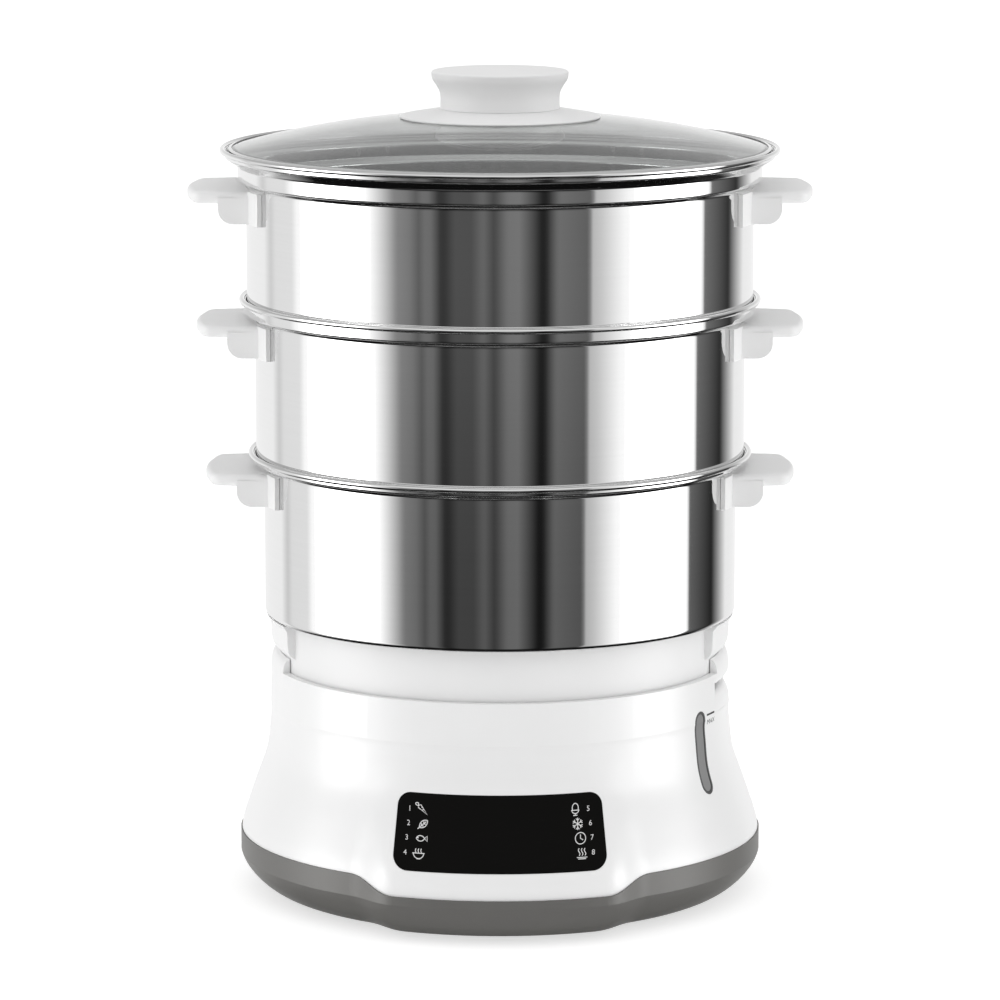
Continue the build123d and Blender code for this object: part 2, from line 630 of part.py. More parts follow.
# ------------------------------------------------------------- base: heater
def heating_plate():
    """Spun steel cup that stands up through the tank's floor."""
    top = TANK_FLOOR_Z + PLATE_RISE
    flange = PLATE_R + HEATER_FLANGE
    cup = disc(PLATE_R, CLAMP_TOP_Z, top)
    cup = fillet(cup.edges().group_by(Axis.Z)[-1], 2.5)
    cup -= disc(PLATE_R - PLATE_THICK, CLAMP_TOP_Z - 1, top - PLATE_THICK)
    return cup + ring(flange, PLATE_R - PLATE_THICK, CLAMP_TOP_Z, SEAL_LOW_Z)


def heater_seal():
    """Silicone ring between the plate's flange and the tank's floor."""
    return ring(PLATE_R + HEATER_FLANGE, PLATE_R + FIT, SEAL_LOW_Z, TANK_FLOOR_Z)


def clamp_ring():
    """Steel ring that presses the heating plate up against its seal."""
    outer = PLATE_R + HEATER_FLANGE + CLAMP_REACH
    clamp = ring(outer, PLATE_R, CLAMP_TOP_Z - CLAMP_THICK, CLAMP_TOP_Z)
    hole = Pos(CLAMP_SCREW_R, 0, CLAMP_TOP_Z) * Cylinder(1.5, 3 * CLAMP_THICK)
    for bore in turned(hole, FOOT_ANGLES):
        clamp -= bore
    return clamp


def clamp_screws():
    """Four screws that pull the clamp ring up."""
    seat = CLAMP_TOP_Z - CLAMP_THICK
    length = CLAMP_THICK + CLAMP_DEPTH - SLIP
    head = Pos(CLAMP_SCREW_R, 0, seat - 1) * Cylinder(2 * CLAMP_BORE_R, 2)
    shank = Cylinder(CLAMP_BORE_R - FIT / 2, length)
    shank = Pos(CLAMP_SCREW_R, 0, seat + length / 2) * shank
    return Compound(children=turned(head + shank, FOOT_ANGLES))


def heat_spreader():
    """Aluminium disc brazed under the heating plate."""
    return disc(PLATE_R - PLATE_THICK - 3, SPREADER_LOW_Z, SPREADER_TOP_Z)


def heating_element():
    """Tubular element bent to an open ring, with its two cold ends down."""
    section = Plane.XZ * Pos(ELEMENT_R, 0) * Circle(ELEMENT_TUBE_R)
    coil = Pos(0, 0, ELEMENT_Z) * Rot(0, 0, ELEMENT_START) * revolve(section, Axis.Z, ELEMENT_ARC)
    end = Cylinder(ELEMENT_TUBE_R / 2, ELEMENT_DROP)
    for angle in (ELEMENT_START, ELEMENT_START + ELEMENT_ARC):
        coil += Pos(*around(ELEMENT_R, angle, ELEMENT_Z)) * Sphere(ELEMENT_TUBE_R)
        coil += Pos(*around(ELEMENT_R, angle, ELEMENT_Z - ELEMENT_DROP / 2)) * end
    return coil


def thermostat():
    """Disc thermostat against the underside of the heat spreader."""
    low = SPREADER_LOW_Z - THERMOSTAT_HEIGHT
    can = disc(THERMOSTAT_R, low, SPREADER_LOW_Z)
    for x in (-THERMOSTAT_R / 2, THERMOSTAT_R / 2):
        can += Pos(x, 0, low - 2) * Box(0.8, 5, 8)
    return can


# -------------------------------------------------------- base: electronics
def board_frame():
    """Tilted frame of the control board behind the sloping panel."""
    return Pos(0, CONTROL_Y, CONTROL_Z) * Rot(90 - CONTROL_TILT, 0, 0)


def control_panel():
    """Gloss black touch panel, curved to the front of the base."""
    skin = panel_prism() & shell_form(PANEL_PROUD)
    return skin - shell_form(-PANEL_DEPTH)


def control_board():
    """Touch and display board on two stand-offs behind the panel."""
    wide, high = CONTROL_BOARD
    return board_frame() * Box(wide, high, BOARD_THICK)


def display_module():
    """Display block on the control board's front."""
    middle = (BOARD_THICK + DISPLAY_SIZE[2]) / 2
    return board_frame() * Pos(0, 0, middle) * Box(*DISPLAY_SIZE)


def power_board():
    """Mains board with relay, transformer, capacitor and terminal block."""
    top = POWER_Z + BOARD_THICK
    board = Pos(0, POWER_Y, top - BOARD_THICK / 2) * Box(*POWER_BOARD, BOARD_THICK)
    for (x, y), size in BLOCKS:
        board += Pos(x, POWER_Y + y, top + size[2] / 2) * Box(*size)
    can = Cylinder(CAPACITOR_R, CAPACITOR_HEIGHT)
    board += Pos(0, POWER_Y + 12, top + CAPACITOR_HEIGHT / 2) * can
    return board + Pos(0, POWER_Y - TERMINAL_BACK, top + TERMINAL[2] / 2) * Box(*TERMINAL)


def wire(points, radius):
    """A round wire along straight runs with rounded corners."""
    path = FilletPolyline(*points, radius=radius)
    start = Plane(origin=path @ 0, z_dir=path % 0)
    return sweep(start * Circle(WIRE_R), path=path)


def heater_leads():
    """Two wires from the power board's terminals to the element's ends."""
    leads = []
    low = POWER_Z + BOARD_THICK + TERMINAL[2]
    middle = (low + ELEMENT_END_Z) / 2
    bend = 0.45 * (middle - low)
    x, y = TERMINAL[0] / 2 - 6, POWER_Y - TERMINAL_BACK
    for angle, side in ((ELEMENT_START, -x), (ELEMENT_START + ELEMENT_ARC, x)):
        start = [(side, y, low), (side, y, middle)]
        end = [around(ELEMENT_R, angle, middle), around(ELEMENT_R, angle, ELEMENT_END_Z)]
        leads.append(wire(start + end, bend))
    return Compound(children=leads)


def panel_lead():
    """Low-voltage lead from the power board to the control board."""
    level = POWER_Z + BOARD_THICK + WIRE_R
    x = CONTROL_BOARD[0] / 2 - 8
    place = Pos(x, 3 - CONTROL_BOARD[1] / 2, -(BOARD_THICK + WIRE_R) / 2)
    back = (board_frame() * place).position
    start, turn = POWER_Y - POWER_BOARD[1] / 2 + 4, back.Y + 14
    points = [(x, start, level), (x, turn, level), (x, turn, back.Z), (x, back.Y, back.Z)]
    return wire(points, 5.0)


# ------------------------------------------------------------------ baskets
def basket_wall(index):
    """Spun steel wall: bottom ring, wall, ledge, collar and rolled rim."""
    radius, bottom, ledge, rim = BASKETS[index]
    bead = BEAD_RS[index]
    low = ledge - LEDGE_DROP
    high = low + LEDGE_RISE
    points = [(radius - BOTTOM_RING, bottom), (radius, bottom), (radius, low)]
    if index == TOP:
        collar = TOP_SHELF_R
        points += [(TOP_COLLAR_R, high), (TOP_COLLAR_R, TOP_SHELF_Z)]
        points += [(collar, TOP_SHELF_Z + TOP_SHELF_RISE)]
        radii = [BASKET_CORNER, 1.6, 1.2, 1.2, 1.2]
    else:
        collar = radius + LEDGE_WIDTH
        points += [(collar, high)]
        radii = [BASKET_CORNER, 1.2, 1.2]
    steel = spun(sheet_outline(points + [(collar, rim)], radii, SHEET))
    steel += Pos(0, 0, rim) * Torus(collar + bead - SHEET / 2, bead)
    for bore in turned(handle_bore(index), screw_angles()):
        steel -= bore
    return steel


def screw_angles():
    """Angles of the four handle screws of a basket."""
    return [side + step for side in (0, 180) for step in (-SCREW_HALF_DEG, SCREW_HALF_DEG)]


def screw_height(index):
    """Height of the handle screws of a basket."""
    return BASKETS[index][2] - HANDLE_DROP - BLOCK_DEPTH / 2


def handle_bore(index):
    """Hole for one handle screw through wall and handle."""
    place = Pos(BASKETS[index][0], 0, screw_height(index)) * Rot(0, 90, 0)
    return place * Cylinder(SCREW_R + FIT, 2 * SCREW_LENGTH)


def basket_screws(index):
    """Four screws that hold the two handles, with their heads inside."""
    z = screw_height(index)
    seat = BASKETS[index][0] - SHEET - 4 * FIT
    head = Pos(seat - SCREW_HEAD / 2, 0, z) * Rot(0, 90, 0) * Cylinder(SCREW_HEAD_R, SCREW_HEAD)
    shank = Pos(seat + SCREW_LENGTH / 2 - 0.7, 0, z) * Rot(0, 90, 0)
    shank *= Cylinder(SCREW_R, SCREW_LENGTH)
    return Compound(children=turned(head + shank, screw_angles()))


def handle_plate(radius, top):
    """The handle's flat plate with its rounded tip and edges."""
    inner, root, tip = radius - 30, radius - 4, radius + HANDLE_REACH
    half, edge, nose = HANDLE_HALF_WIDTH, HANDLE_HALF_WIDTH - HANDLE_TAPER, HANDLE_HALF_WIDTH / 2.4
    bend, end = tip - HANDLE_TIP_R, tip - HANDLE_NOSE
    outline = [
        Line((inner, -half), (root, -half)),
        Spline((root, -half), (bend, -edge), tangents=[(1, 0), (1, 0.15)]),
        Spline((bend, -edge), (end, -nose), tangents=[(1, 0.15), (0.25, 1)]),
        ThreePointArc((end, -nose), (tip, 0), (end, nose)),
        Spline((end, nose), (bend, edge), tangents=[(-0.25, 1), (-1, 0.15)]),
        Spline((bend, edge), (root, half), tangents=[(-1, 0.15), (-1, 0)]),
        Line((root, half), (inner, half)),
        Line((inner, half), (inner, -half)),
    ]
    plate = Pos(0, 0, top - HANDLE_THICK) * extrude(make_face(outline), HANDLE_THICK)
    curved = plate.edges().filter_by(GeomType.LINE, reverse=True)
    flat = [bent for bent in curved if bent.bounding_box().size.Z < 0.01]
    return fillet(flat, HANDLE_ROUND)


def basket_handle(index, middle):
    """Moulded handle: plate, lower block and a pad that hugs the wall."""
    radius, _, ledge, _ = BASKETS[index]
    top = ledge - HANDLE_DROP
    low = top - BLOCK_DEPTH
    inner = radius - 15 - BLOCK_REACH / 2
    height = BLOCK_DEPTH - HANDLE_THICK / 2
    block = Box(radius + BLOCK_REACH - inner, 2 * HANDLE_HALF_WIDTH, height)
    block = Pos((inner + radius + BLOCK_REACH) / 2, 0, low + height / 2) * block
    corner = block.edges().filter_by(Axis.Y).group_by(Axis.X)[-1].sort_by(Axis.Z)[0]
    block = fillet(corner, BLOCK_CORNER)
    pad = ring(radius + PAD_THICK, inner, low, top)
    corners = ((inner / 2, low), (DEEP, low), (DEEP, top), (inner / 2, top))
    pad &= spun(closed(corners), 2 * PAD_HALF_DEG)
    handle = handle_plate(radius, top) + block + pad
    handle -= disc(radius + FIT, low - 5, top + 5)
    for step in (-SCREW_HALF_DEG, SCREW_HALF_DEG):
        handle -= Rot(0, 0, step) * handle_bore(index)
    return Rot(0, 0, middle) * handle


def basket_grid(index):
    """Removable perforated floor that rests on the basket's bottom ring."""
    radius, bottom, _, _ = BASKETS[index]
    low = bottom + SHEET + LIFT_GAP
    high = low + GRID_RISE
    edge = radius - BASKET_CORNER - SLIP
    step = edge - GRID_RIM
    under = [(0, high), (step - GRID_RISE, high), (step, low), (edge, low)]
    over = [(x, z + GRID_THICK) for x, z in reversed(under)]
    grid = spun(closed(under + over))
    drill = Cylinder(GRID_HOLE_R, 4 * GRID_THICK)
    holes = []
    for ring_r, count in GRID_RINGS:
        for number in range(count):
            holes.append(Pos(*around(ring_r, number * 360 / count, high)) * drill)
    return grid - holes


# ---------------------------------------------------------------------- lid
def dome(drop, radius):
    """A cap of the glass sphere, lowered by some millimetres, as a solid."""
    ball = Pos(0, 0, GLASS_MIDDLE_Z - drop) * Sphere(GLASS_SPHERE_R)
    return ball & disc(radius, TOP_LEDGE_Z, DEEP * 2)


def lid_glass():
    """Domed glass with a hole for the knob's screw."""
    glass = dome(0, GLASS_R) - dome(GLASS_THICK, GLASS_R + 5)
    return glass - disc(GLASS_HOLE_R, TOP_LEDGE_Z, DEEP * 2)


def glass_height(radius):
    """Height of the glass's outside at a radius."""
    return GLASS_MIDDLE_Z + sqrt(GLASS_SPHERE_R**2 - radius**2)


def shelf_height(radius):
    """Height of the shelf's upper face, where the lid's ring rests."""
    slope = TOP_SHELF_RISE / TOP_SHELF
    return TOP_SHELF_Z + (radius - TOP_COLLAR_R) * slope + SHEET * sqrt(1 + slope**2)


def lid_ring():
    """Steel band rolled over the edge of the glass, above and below."""
    lip, bend = GLASS_R - RING_LIP, GLASS_R + FIT
    over, corner = glass_height(lip) + FIT, glass_height(GLASS_R) + FIT
    down = GLASS_THICK + 2 * FIT
    low = shelf_height(RING_R) + SLOPE_GAP
    outline = [
        (RING_R, low),
        (RING_R, corner),
        (RING_R - RING_SHEET / 2, corner + 0.6 * RING_SHEET),
        (lip, over + RING_SHEET),
        (lip, over),
        (bend, corner),
        (bend, corner - down),
        (lip, over - down),
        (lip, over - down - RING_SHEET),
        (RING_R - 2 * RING_SHEET, low),
    ]
    return spun(closed(outline))


def knob_flange():
    """Plastic disc between knob and glass, coned up to the knob."""
    edge = glass_height(FLANGE_R) + FIT
    outline = [
        (GLASS_HOLE_R, edge - 3),
        (FLANGE_R - 0.5, edge - 3),
        (FLANGE_R, edge + FLANGE_EDGE - 0.5),
        (FLANGE_R - 0.8, edge + FLANGE_EDGE),
        (KNOB_NECK_R, FLANGE_TOP_Z),
        (GLASS_HOLE_R, FLANGE_TOP_Z),
    ]
    return spun(closed(outline)) - dome(-FIT, FLANGE_R + 5)


def lid_knob():
    """Waisted knob with an upright edge and a slightly domed top."""
    neck, top = FLANGE_TOP_Z + FIT, FLANGE_TOP_Z + KNOB_HEIGHT
    waist, rim = neck + KNOB_NECK, top - KNOB_CROWN
    crown_r, corner = KNOB_EDGE_R - KNOB_CORNER, rim - KNOB_CORNER
    sphere_r = (crown_r**2 + KNOB_CROWN**2) / (2 * KNOB_CROWN)
    halfway = top - sphere_r + sqrt(sphere_r**2 - (crown_r / 2) ** 2)
    diagonal = KNOB_CORNER * sqrt(0.5)
    side = [(KNOB_NECK_R, waist), (KNOB_EDGE_R - 1.6, top - 7.4), (KNOB_EDGE_R, top - KNOB_EDGE)]
    outline = [
        Line((0, neck), (KNOB_NECK_R, neck)),
        Line((KNOB_NECK_R, neck), side[0]),
        Spline(*side, tangents=[(0, 1), (0, 1)]),
        Line(side[-1], (KNOB_EDGE_R, corner)),
        ThreePointArc(
            (KNOB_EDGE_R, corner),
            (crown_r + diagonal, corner + diagonal),
            (crown_r, rim),
        ),
        ThreePointArc((crown_r, rim), (crown_r / 2, halfway), (0, top)),
        Line((0, top), (0, neck)),
    ]
    return spun(outline) - disc(KNOB_SCREW_R, neck - 1, neck + KNOB_SCREW_DEPTH)


def knob_seal():
    """Silicone washer under the glass."""
    top = GLASS_CROWN_Z - GLASS_THICK - 2 * FIT
    return ring(KNOB_SEAL_R, GLASS_HOLE_R, top - KNOB_SEAL, top)


def knob_screw():
    """Screw with a washer head that holds the knob from below."""
    seat = GLASS_CROWN_Z - GLASS_THICK - 2 * FIT - KNOB_SEAL
    shank = disc(KNOB_SCREW_R - FIT, seat - 1, FLANGE_TOP_Z + KNOB_SCREW_DEPTH - 1)
    washer = disc(KNOB_SEAL_R - 1, seat - 1, seat)
    return shank + washer + disc(KNOB_SEAL_R / 2, seat - 3.5, seat - 1)


# ------------------------------------------------------------------- output
PIECES = {
    "base_shell": base_shell,
    "base_skirt": base_skirt,
    "cord_gland": cord_gland,
    "bottom_cover": bottom_cover,
    "rubber_feet": rubber_feet,
    "bottom_screws": bottom_screws,
    "water_tank": water_tank,
    "water_inlet": water_inlet,
    "level_gasket": level_gasket,
    "level_window": level_window,
    "turbo_ring": turbo_ring,
    "heating_plate": heating_plate,
    "heater_seal": heater_seal,
    "clamp_ring": clamp_ring,
    "clamp_screws": clamp_screws,
    "heat_spreader": heat_spreader,
    "heating_element": heating_element,
    "thermostat": thermostat,
    "control_panel": control_panel,
    "control_board": control_board,
    "display_module": display_module,
    "power_board": power_board,
    "heater_leads": heater_leads,
    "panel_lead": panel_lead,
    "juice_collector": juice_collector,
    "lid_glass": lid_glass,
    "lid_ring": lid_ring,
    "lid_knob": lid_knob,
    "knob_flange": knob_flange,
    "knob_seal": knob_seal,
    "knob_screw": knob_screw,
}

for name, make in PIECES.items():
    save(name, make())
for index in range(len(BASKETS)):
    prefix = f"basket_{index + 1}"
    save(f"{prefix}_wall", basket_wall(index))
    save(f"{prefix}_grid", basket_grid(index))
    save(f"{prefix}_handle_right", basket_handle(index, 0))
    save(f"{prefix}_handle_left", basket_handle(index, 180))
    save(f"{prefix}_screws", basket_screws(index))
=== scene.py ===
# %% [markdown]
# # An electric food steamer
#
# The steamer is a stack: a white base with a water tank and a heater, a drip
# tray, three polished steel baskets and a glass lid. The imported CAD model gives
# every piece its place and size. This lesson dresses it: it sets the camera and
# the light, gives each piece its real material, and makes finer meshes where a
# mirror finish would show the facets of the CAD model.

from math import atan2, cos, pi, radians, sin, sqrt, tan

import bpy
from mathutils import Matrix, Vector
from mathutils.bvhtree import BVHTree


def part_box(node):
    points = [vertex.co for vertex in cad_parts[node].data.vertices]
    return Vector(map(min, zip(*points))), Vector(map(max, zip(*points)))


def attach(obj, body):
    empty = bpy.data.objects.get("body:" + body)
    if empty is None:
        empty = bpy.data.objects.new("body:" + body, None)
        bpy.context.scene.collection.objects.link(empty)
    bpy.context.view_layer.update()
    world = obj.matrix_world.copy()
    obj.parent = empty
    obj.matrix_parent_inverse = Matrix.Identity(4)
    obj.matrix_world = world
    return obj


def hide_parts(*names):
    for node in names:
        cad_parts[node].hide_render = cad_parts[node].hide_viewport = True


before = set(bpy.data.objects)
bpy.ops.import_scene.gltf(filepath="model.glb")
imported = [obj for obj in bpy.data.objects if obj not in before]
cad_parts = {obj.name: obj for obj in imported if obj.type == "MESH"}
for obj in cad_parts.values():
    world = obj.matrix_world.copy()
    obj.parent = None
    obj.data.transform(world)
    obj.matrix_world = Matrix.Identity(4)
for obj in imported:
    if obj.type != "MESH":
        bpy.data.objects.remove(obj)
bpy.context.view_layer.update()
MM = 0.001

# %% [markdown]
# ## The camera
#
# The steamer was seen through a long lens from a little above the lid. A long
# lens keeps the sides of the stack nearly upright. The numbers are the distance,
# the height and the downward tilt of that lens.

# %% Place the camera
LENS_MM = 183.68
CAMERA_BACK = 2.68508
CAMERA_UP = 0.6619
TILT_DOWN = radians(9.595)

scene = bpy.context.scene
camera = bpy.data.objects.new("camera", bpy.data.cameras.new("camera"))
camera.data.lens = LENS_MM
camera.data.sensor_width = 36.0
camera.data.clip_end = 50.0
camera.location = (0.0, -CAMERA_BACK, CAMERA_UP)
camera.rotation_euler = (pi / 2 - TILT_DOWN, 0.0, 0.0)
scene.collection.objects.link(camera)
scene.camera = camera
scene.view_settings.view_transform = "Standard"
print("camera", tuple(round(c, 3) for c in camera.location))

# %% [markdown]
# ## Two helpers for nodes
#
# Colours are written as sRGB hex values, as a paint chart gives them, and one
# function turns them into the linear values that the renderer adds up. Another
# adds a node with its settings and links.


# %% Colour and node helpers
def linear(hex_colour):
    """An sRGB colour such as '#f4f3f0' as linear red, green, blue and alpha."""
    channels = [int(hex_colour[i : i + 2], 16) / 255 for i in (1, 3, 5)]
    return [c / 12.92 if c <= 0.04045 else ((c + 0.055) / 1.055) ** 2.4 for c in channels] + [1.0]


def add(tree, kind, inputs=None, **settings):
    """Add a node; inputs are numbers, colours, or sockets to link from."""
    made = tree.nodes.new(kind)
    for name, value in settings.items():
        setattr(made, name, value)
    for name, value in (inputs or {}).items():
        if isinstance(value, bpy.types.NodeSocket):
            tree.links.new(value, made.inputs[name])
        else:
            made.inputs[name].default_value = value
    return made


print("white plastic is", [round(c, 3) for c in linear("#f4f3f0")])

# %% [markdown]
# ## The studio
#
# Polished steel has no look of its own: it shows the room. A studio surrounds
# such a product with white softboxes and leaves dark gaps and black flags
# between them, which draw the upright stripes on a basket. The panels could be
# glowing planes set up round the steamer. A world shader that gives each
# compass direction its brightness does the same with one list of levels, and
# nothing stands in the way when the camera moves. Only reflections see these
# panels.

# %% Name the panels of the studio
# where each panel starts and ends, in degrees round from the front towards the
# right, and how bright a polished basket shows it at those two edges
STUDIO = (
    ("rear_wall_left", -180, "#e9e9e9", -134, "#e9e9e9"),
    ("stand_left", -127, "#cccccc", None, None),
    ("side_wall_left", -122, "#dcdcdc", -108, "#dedede"),
    ("softbox_left", -104, "#f6f6f6", -60, "#fafafa"),
    ("falloff_left", -47, "#898989", -41, "#7e7e7e"),
    ("seam", -36.5, "#646464", None, None),
    ("card_left", -33.5, "#757575", -31, "#727272"),
    ("flag_left", -26.5, "#3e3e3e", -24.5, "#3e3e3e"),
    ("room", -20, "#575757", -12.5, "#565656"),
    ("door", -7.5, "#6e6e6e", None, None),
    ("gap", -2.5, "#4e4e4e", None, None),
    ("camera_side", 3.5, "#797979", 8.5, "#7b7b7b"),
    ("flag_right", 18, "#2c2c2c", 20.5, "#292929"),
    ("card_right", 26, "#747474", 40.5, "#666666"),
    ("softbox_edge", 41.5, "#b9b9b9", 46, "#c7c7c7"),
    ("softbox_right", 58, "#f6f6f6", 103.5, "#ffffff"),
    ("flag_far", 105.5, "#747474", 126, "#363636"),
    ("rear_wall_right", 144, "#e6e6e6", 180, "#ececec"),
)
stops = [(start, level) for _, start, level, _, _ in STUDIO]
stops += [(end, level) for _, _, _, end, level in STUDIO if end is not None]
stops.sort()
print("studio panels:", len(STUDIO), "stops:", len(stops))

# %% Give each direction its light
STEEL_SHINE = 0.86  # share of the light that the steel sends back

world = bpy.data.worlds.new("studio")
scene.world = world
world.use_nodes = True
sky = world.node_tree
sky.nodes.clear()
direction = add(sky, "ShaderNodeTexCoord").outputs["Generated"]
split = add(sky, "ShaderNodeSeparateXYZ", {"Vector": direction})
front = add(sky, "ShaderNodeMath", {0: split.outputs["Y"], 1: -1.0}, operation="MULTIPLY")
turn = {0: split.outputs["X"], 1: front.outputs[0]}
azimuth = add(sky, "ShaderNodeMath", turn, operation="ARCTAN2")
whole = {"Value": azimuth.outputs[0], "From Min": -pi, "From Max": pi}
way_round = add(sky, "ShaderNodeMapRange", whole)  # share of a turn, from the rear


def room_light(stops, shine=1.0):
    """The light of a room in each direction, from (degrees, hex colour) stops."""
    made = add(sky, "ShaderNodeValToRGB", {"Fac": way_round.outputs["Result"]})
    elements = made.color_ramp.elements
    elements.remove(elements[1])
    for number, (degrees, level) in enumerate(stops):
        place = (degrees + 180) / 360
        stop = elements[0] if number == 0 else elements.new(place)
        stop.position = place
        stop.color = [c / shine for c in linear(level)[:3]] + [1.0]
    return made.outputs["Color"]


levels = room_light(stops, STEEL_SHINE)
print("world nodes:", len(sky.nodes))

# %% [markdown]
# Below the horizon the gaps between the panels get darker, as the lowest basket
# shows, so the contrast of the stripes rises there. The two softboxes are also
# far brighter than white. A mirror can't show that, but a dull gloss does, and it
# puts the broad shine on the sides of the white base. They end a little below
# the table top. All heights here are sines of the elevation.

# %% Deepen the low gaps and light the softboxes
LOW_SIN = (-0.125, -0.182)
CONTRAST = (1.1, 1.3)
SOFTBOX_MIDDLE = radians(81.0)
SOFTBOX_EDGE = (radians(21), radians(9))  # off the middle, from no glow to full glow
SOFTBOX_POWER = 4.5
SOFTBOX_LOW_SIN = (-0.38, -0.28)

height = split.outputs["Z"]
lower = {"Value": height, "From Min": LOW_SIN[0], "From Max": LOW_SIN[1]}
stronger = {"To Min": CONTRAST[0], "To Max": CONTRAST[1]}
contrast = add(sky, "ShaderNodeMapRange", lower | stronger)
deepened = {"Color": levels, "Gamma": contrast.outputs["Result"]}
stripes = add(sky, "ShaderNodeGamma", deepened).outputs["Color"]

low_end = {"Value": height, "From Min": SOFTBOX_LOW_SIN[0], "From Max": SOFTBOX_LOW_SIN[1]}
full_glow = add(sky, "ShaderNodeMapRange", low_end | {"To Max": SOFTBOX_POWER})
side = add(sky, "ShaderNodeMath", {0: azimuth.outputs[0]}, operation="ABSOLUTE")
off = add(sky, "ShaderNodeMath", {0: side.outputs[0], 1: SOFTBOX_MIDDLE}, operation="SUBTRACT")
away = add(sky, "ShaderNodeMath", {0: off.outputs[0]}, operation="ABSOLUTE")
falloff = {"Value": away.outputs[0], "From Min": SOFTBOX_EDGE[0], "From Max": SOFTBOX_EDGE[1]}
glow = add(sky, "ShaderNodeMapRange", falloff | {"To Max": full_glow.outputs["Result"]})
panels = add(sky, "ShaderNodeVectorMath", {0: stripes, 1: glow.outputs["Result"]}, operation="ADD")
print("world nodes:", len(sky.nodes))

# %% [markdown]
# The panels are only so tall. Above them hangs a pale ceiling, brighter towards
# the front, which draws the light line along each rolled rim and greys the
# glass. Below them the room falls off to near black, which draws the thin dark
# line under each rim, and right below the table it is dim grey again.

# %% Hang the ceiling over the panels
# how far a direction points to the front, from -1 right behind to 1 right ahead
TO_FRONT = (0.1, 0.45)  # between the rear's ceiling and the front's
TO_REAR = (-0.3, -0.6)  # between the side walls and the low rear wall
CEILING_REAR, CEILING_FRONT = "#b8b8b8", "#e2e2e2"
# the heights between which a wall gives way to the ceiling
WALL_TOP = (0.19, 0.28)
WALL_TOP_REAR = (0.02, 0.42)

to_front = {"Value": front.outputs[0], "From Min": TO_FRONT[0], "From Max": TO_FRONT[1]}
forward = add(sky, "ShaderNodeMapRange", to_front)
ceiling = {"Color1": linear(CEILING_REAR), "Color2": linear(CEILING_FRONT)}
overhead = add(sky, "ShaderNodeMixRGB", {"Fac": forward.outputs["Result"]} | ceiling)
to_rear = {"Value": front.outputs[0], "From Min": TO_REAR[0], "From Max": TO_REAR[1]}
starts = {"To Min": WALL_TOP[0], "To Max": WALL_TOP_REAR[0]}
start = add(sky, "ShaderNodeMapRange", to_rear | starts)
ends = {"To Min": WALL_TOP[1], "To Max": WALL_TOP_REAR[1]}
end = add(sky, "ShaderNodeMapRange", to_rear | ends)
wall_edge = {"From Min": start.outputs["Result"], "From Max": end.outputs["Result"]}
above = add(sky, "ShaderNodeMapRange", {"Value": height} | wall_edge)
walls_and_roof = {"Color1": panels.outputs[0], "Color2": overhead.outputs["Color"]}
roofed = add(sky, "ShaderNodeMixRGB", {"Fac": above.outputs["Result"]} | walls_and_roof)
print("world nodes:", len(sky.nodes))

# %% Darken the room below the table
BELOW_SIN = (-0.6, -0.4)  # between the dark and the foot of the panels
UNDER_SIN = (-0.87, -0.97)  # between the dark and the grey right below
DARK, DIM = "#101010", "#5a5a5a"

underneath = {"Value": height, "From Min": UNDER_SIN[0], "From Max": UNDER_SIN[1]}
under = add(sky, "ShaderNodeMapRange", underneath)
foot = {"Value": height, "From Min": BELOW_SIN[0], "From Max": BELOW_SIN[1]}
below = add(sky, "ShaderNodeMapRange", foot)
dark_to_dim = {"Color1": linear(DARK), "Color2": linear(DIM)}
deep = add(sky, "ShaderNodeMixRGB", {"Fac": under.outputs["Result"]} | dark_to_dim)
dark_to_room = {"Color1": deep.outputs["Color"], "Color2": roofed.outputs["Color"]}
mirrored = add(sky, "ShaderNodeMixRGB", {"Fac": below.outputs["Result"]} | dark_to_room)
print("world nodes:", len(sky.nodes))

# %% [markdown]
# Everything that isn't a mirror is lit by the same room, blurred: bright at the
# two softboxes, a little more so on the left, and dimmer towards the front and
# the rear. That leaves the middle and the far edges of the white base a shade
# darker, so its round form reads against the paper.

# %% Add the soft room
SOFT_ROOM = (
    (-180, "#9c9c9c"),
    (-125, "#a8a8a8"),
    (-104, "#ffffff"),
    (-48, "#ffffff"),
    (-34, "#929292"),
    (34, "#8c8c8c"),
    (48, "#f6f6f6"),
    (104, "#f6f6f6"),
    (125, "#969696"),
    (180, "#9c9c9c"),
)
SOFT_POWER = 1.25
SOFT_CEILING = "#f6f6f6"
SOFT_TOP = (0.5, 0.9)

soft_walls = room_light(SOFT_ROOM)
upper = {"Value": height, "From Min": SOFT_TOP[0], "From Max": SOFT_TOP[1]}
higher = add(sky, "ShaderNodeMapRange", upper)
walls_to_top = {"Color1": soft_walls, "Color2": linear(SOFT_CEILING)}
soft = add(sky, "ShaderNodeMixRGB", {"Fac": higher.outputs["Result"]} | walls_to_top)
powered = {0: soft.outputs["Color"], 1: (SOFT_POWER,) * 3}
lit = add(sky, "ShaderNodeVectorMath", powered, operation="MULTIPLY")
ray = add(sky, "ShaderNodeLightPath")
both_rooms = {"Color1": lit.outputs[0], "Color2": mirrored.outputs["Color"]}
chosen = add(sky, "ShaderNodeMixRGB", {"Fac": ray.outputs["Is Glossy Ray"]} | both_rooms)
background = add(sky, "ShaderNodeBackground", {"Color": chosen.outputs["Color"], "Strength": 1.0})
add(sky, "ShaderNodeOutputWorld", {"Surface": background.outputs["Background"]})
print("world nodes:", len(sky.nodes))

# %% [markdown]
# ## The floor
#
# The floor is a wide sheet of white paper, lit a little from below as on a light
# table, so it stays white round the steamer and shows only a soft shadow. It is
# kept out of reflections, because the steel would show it instead of the studio.


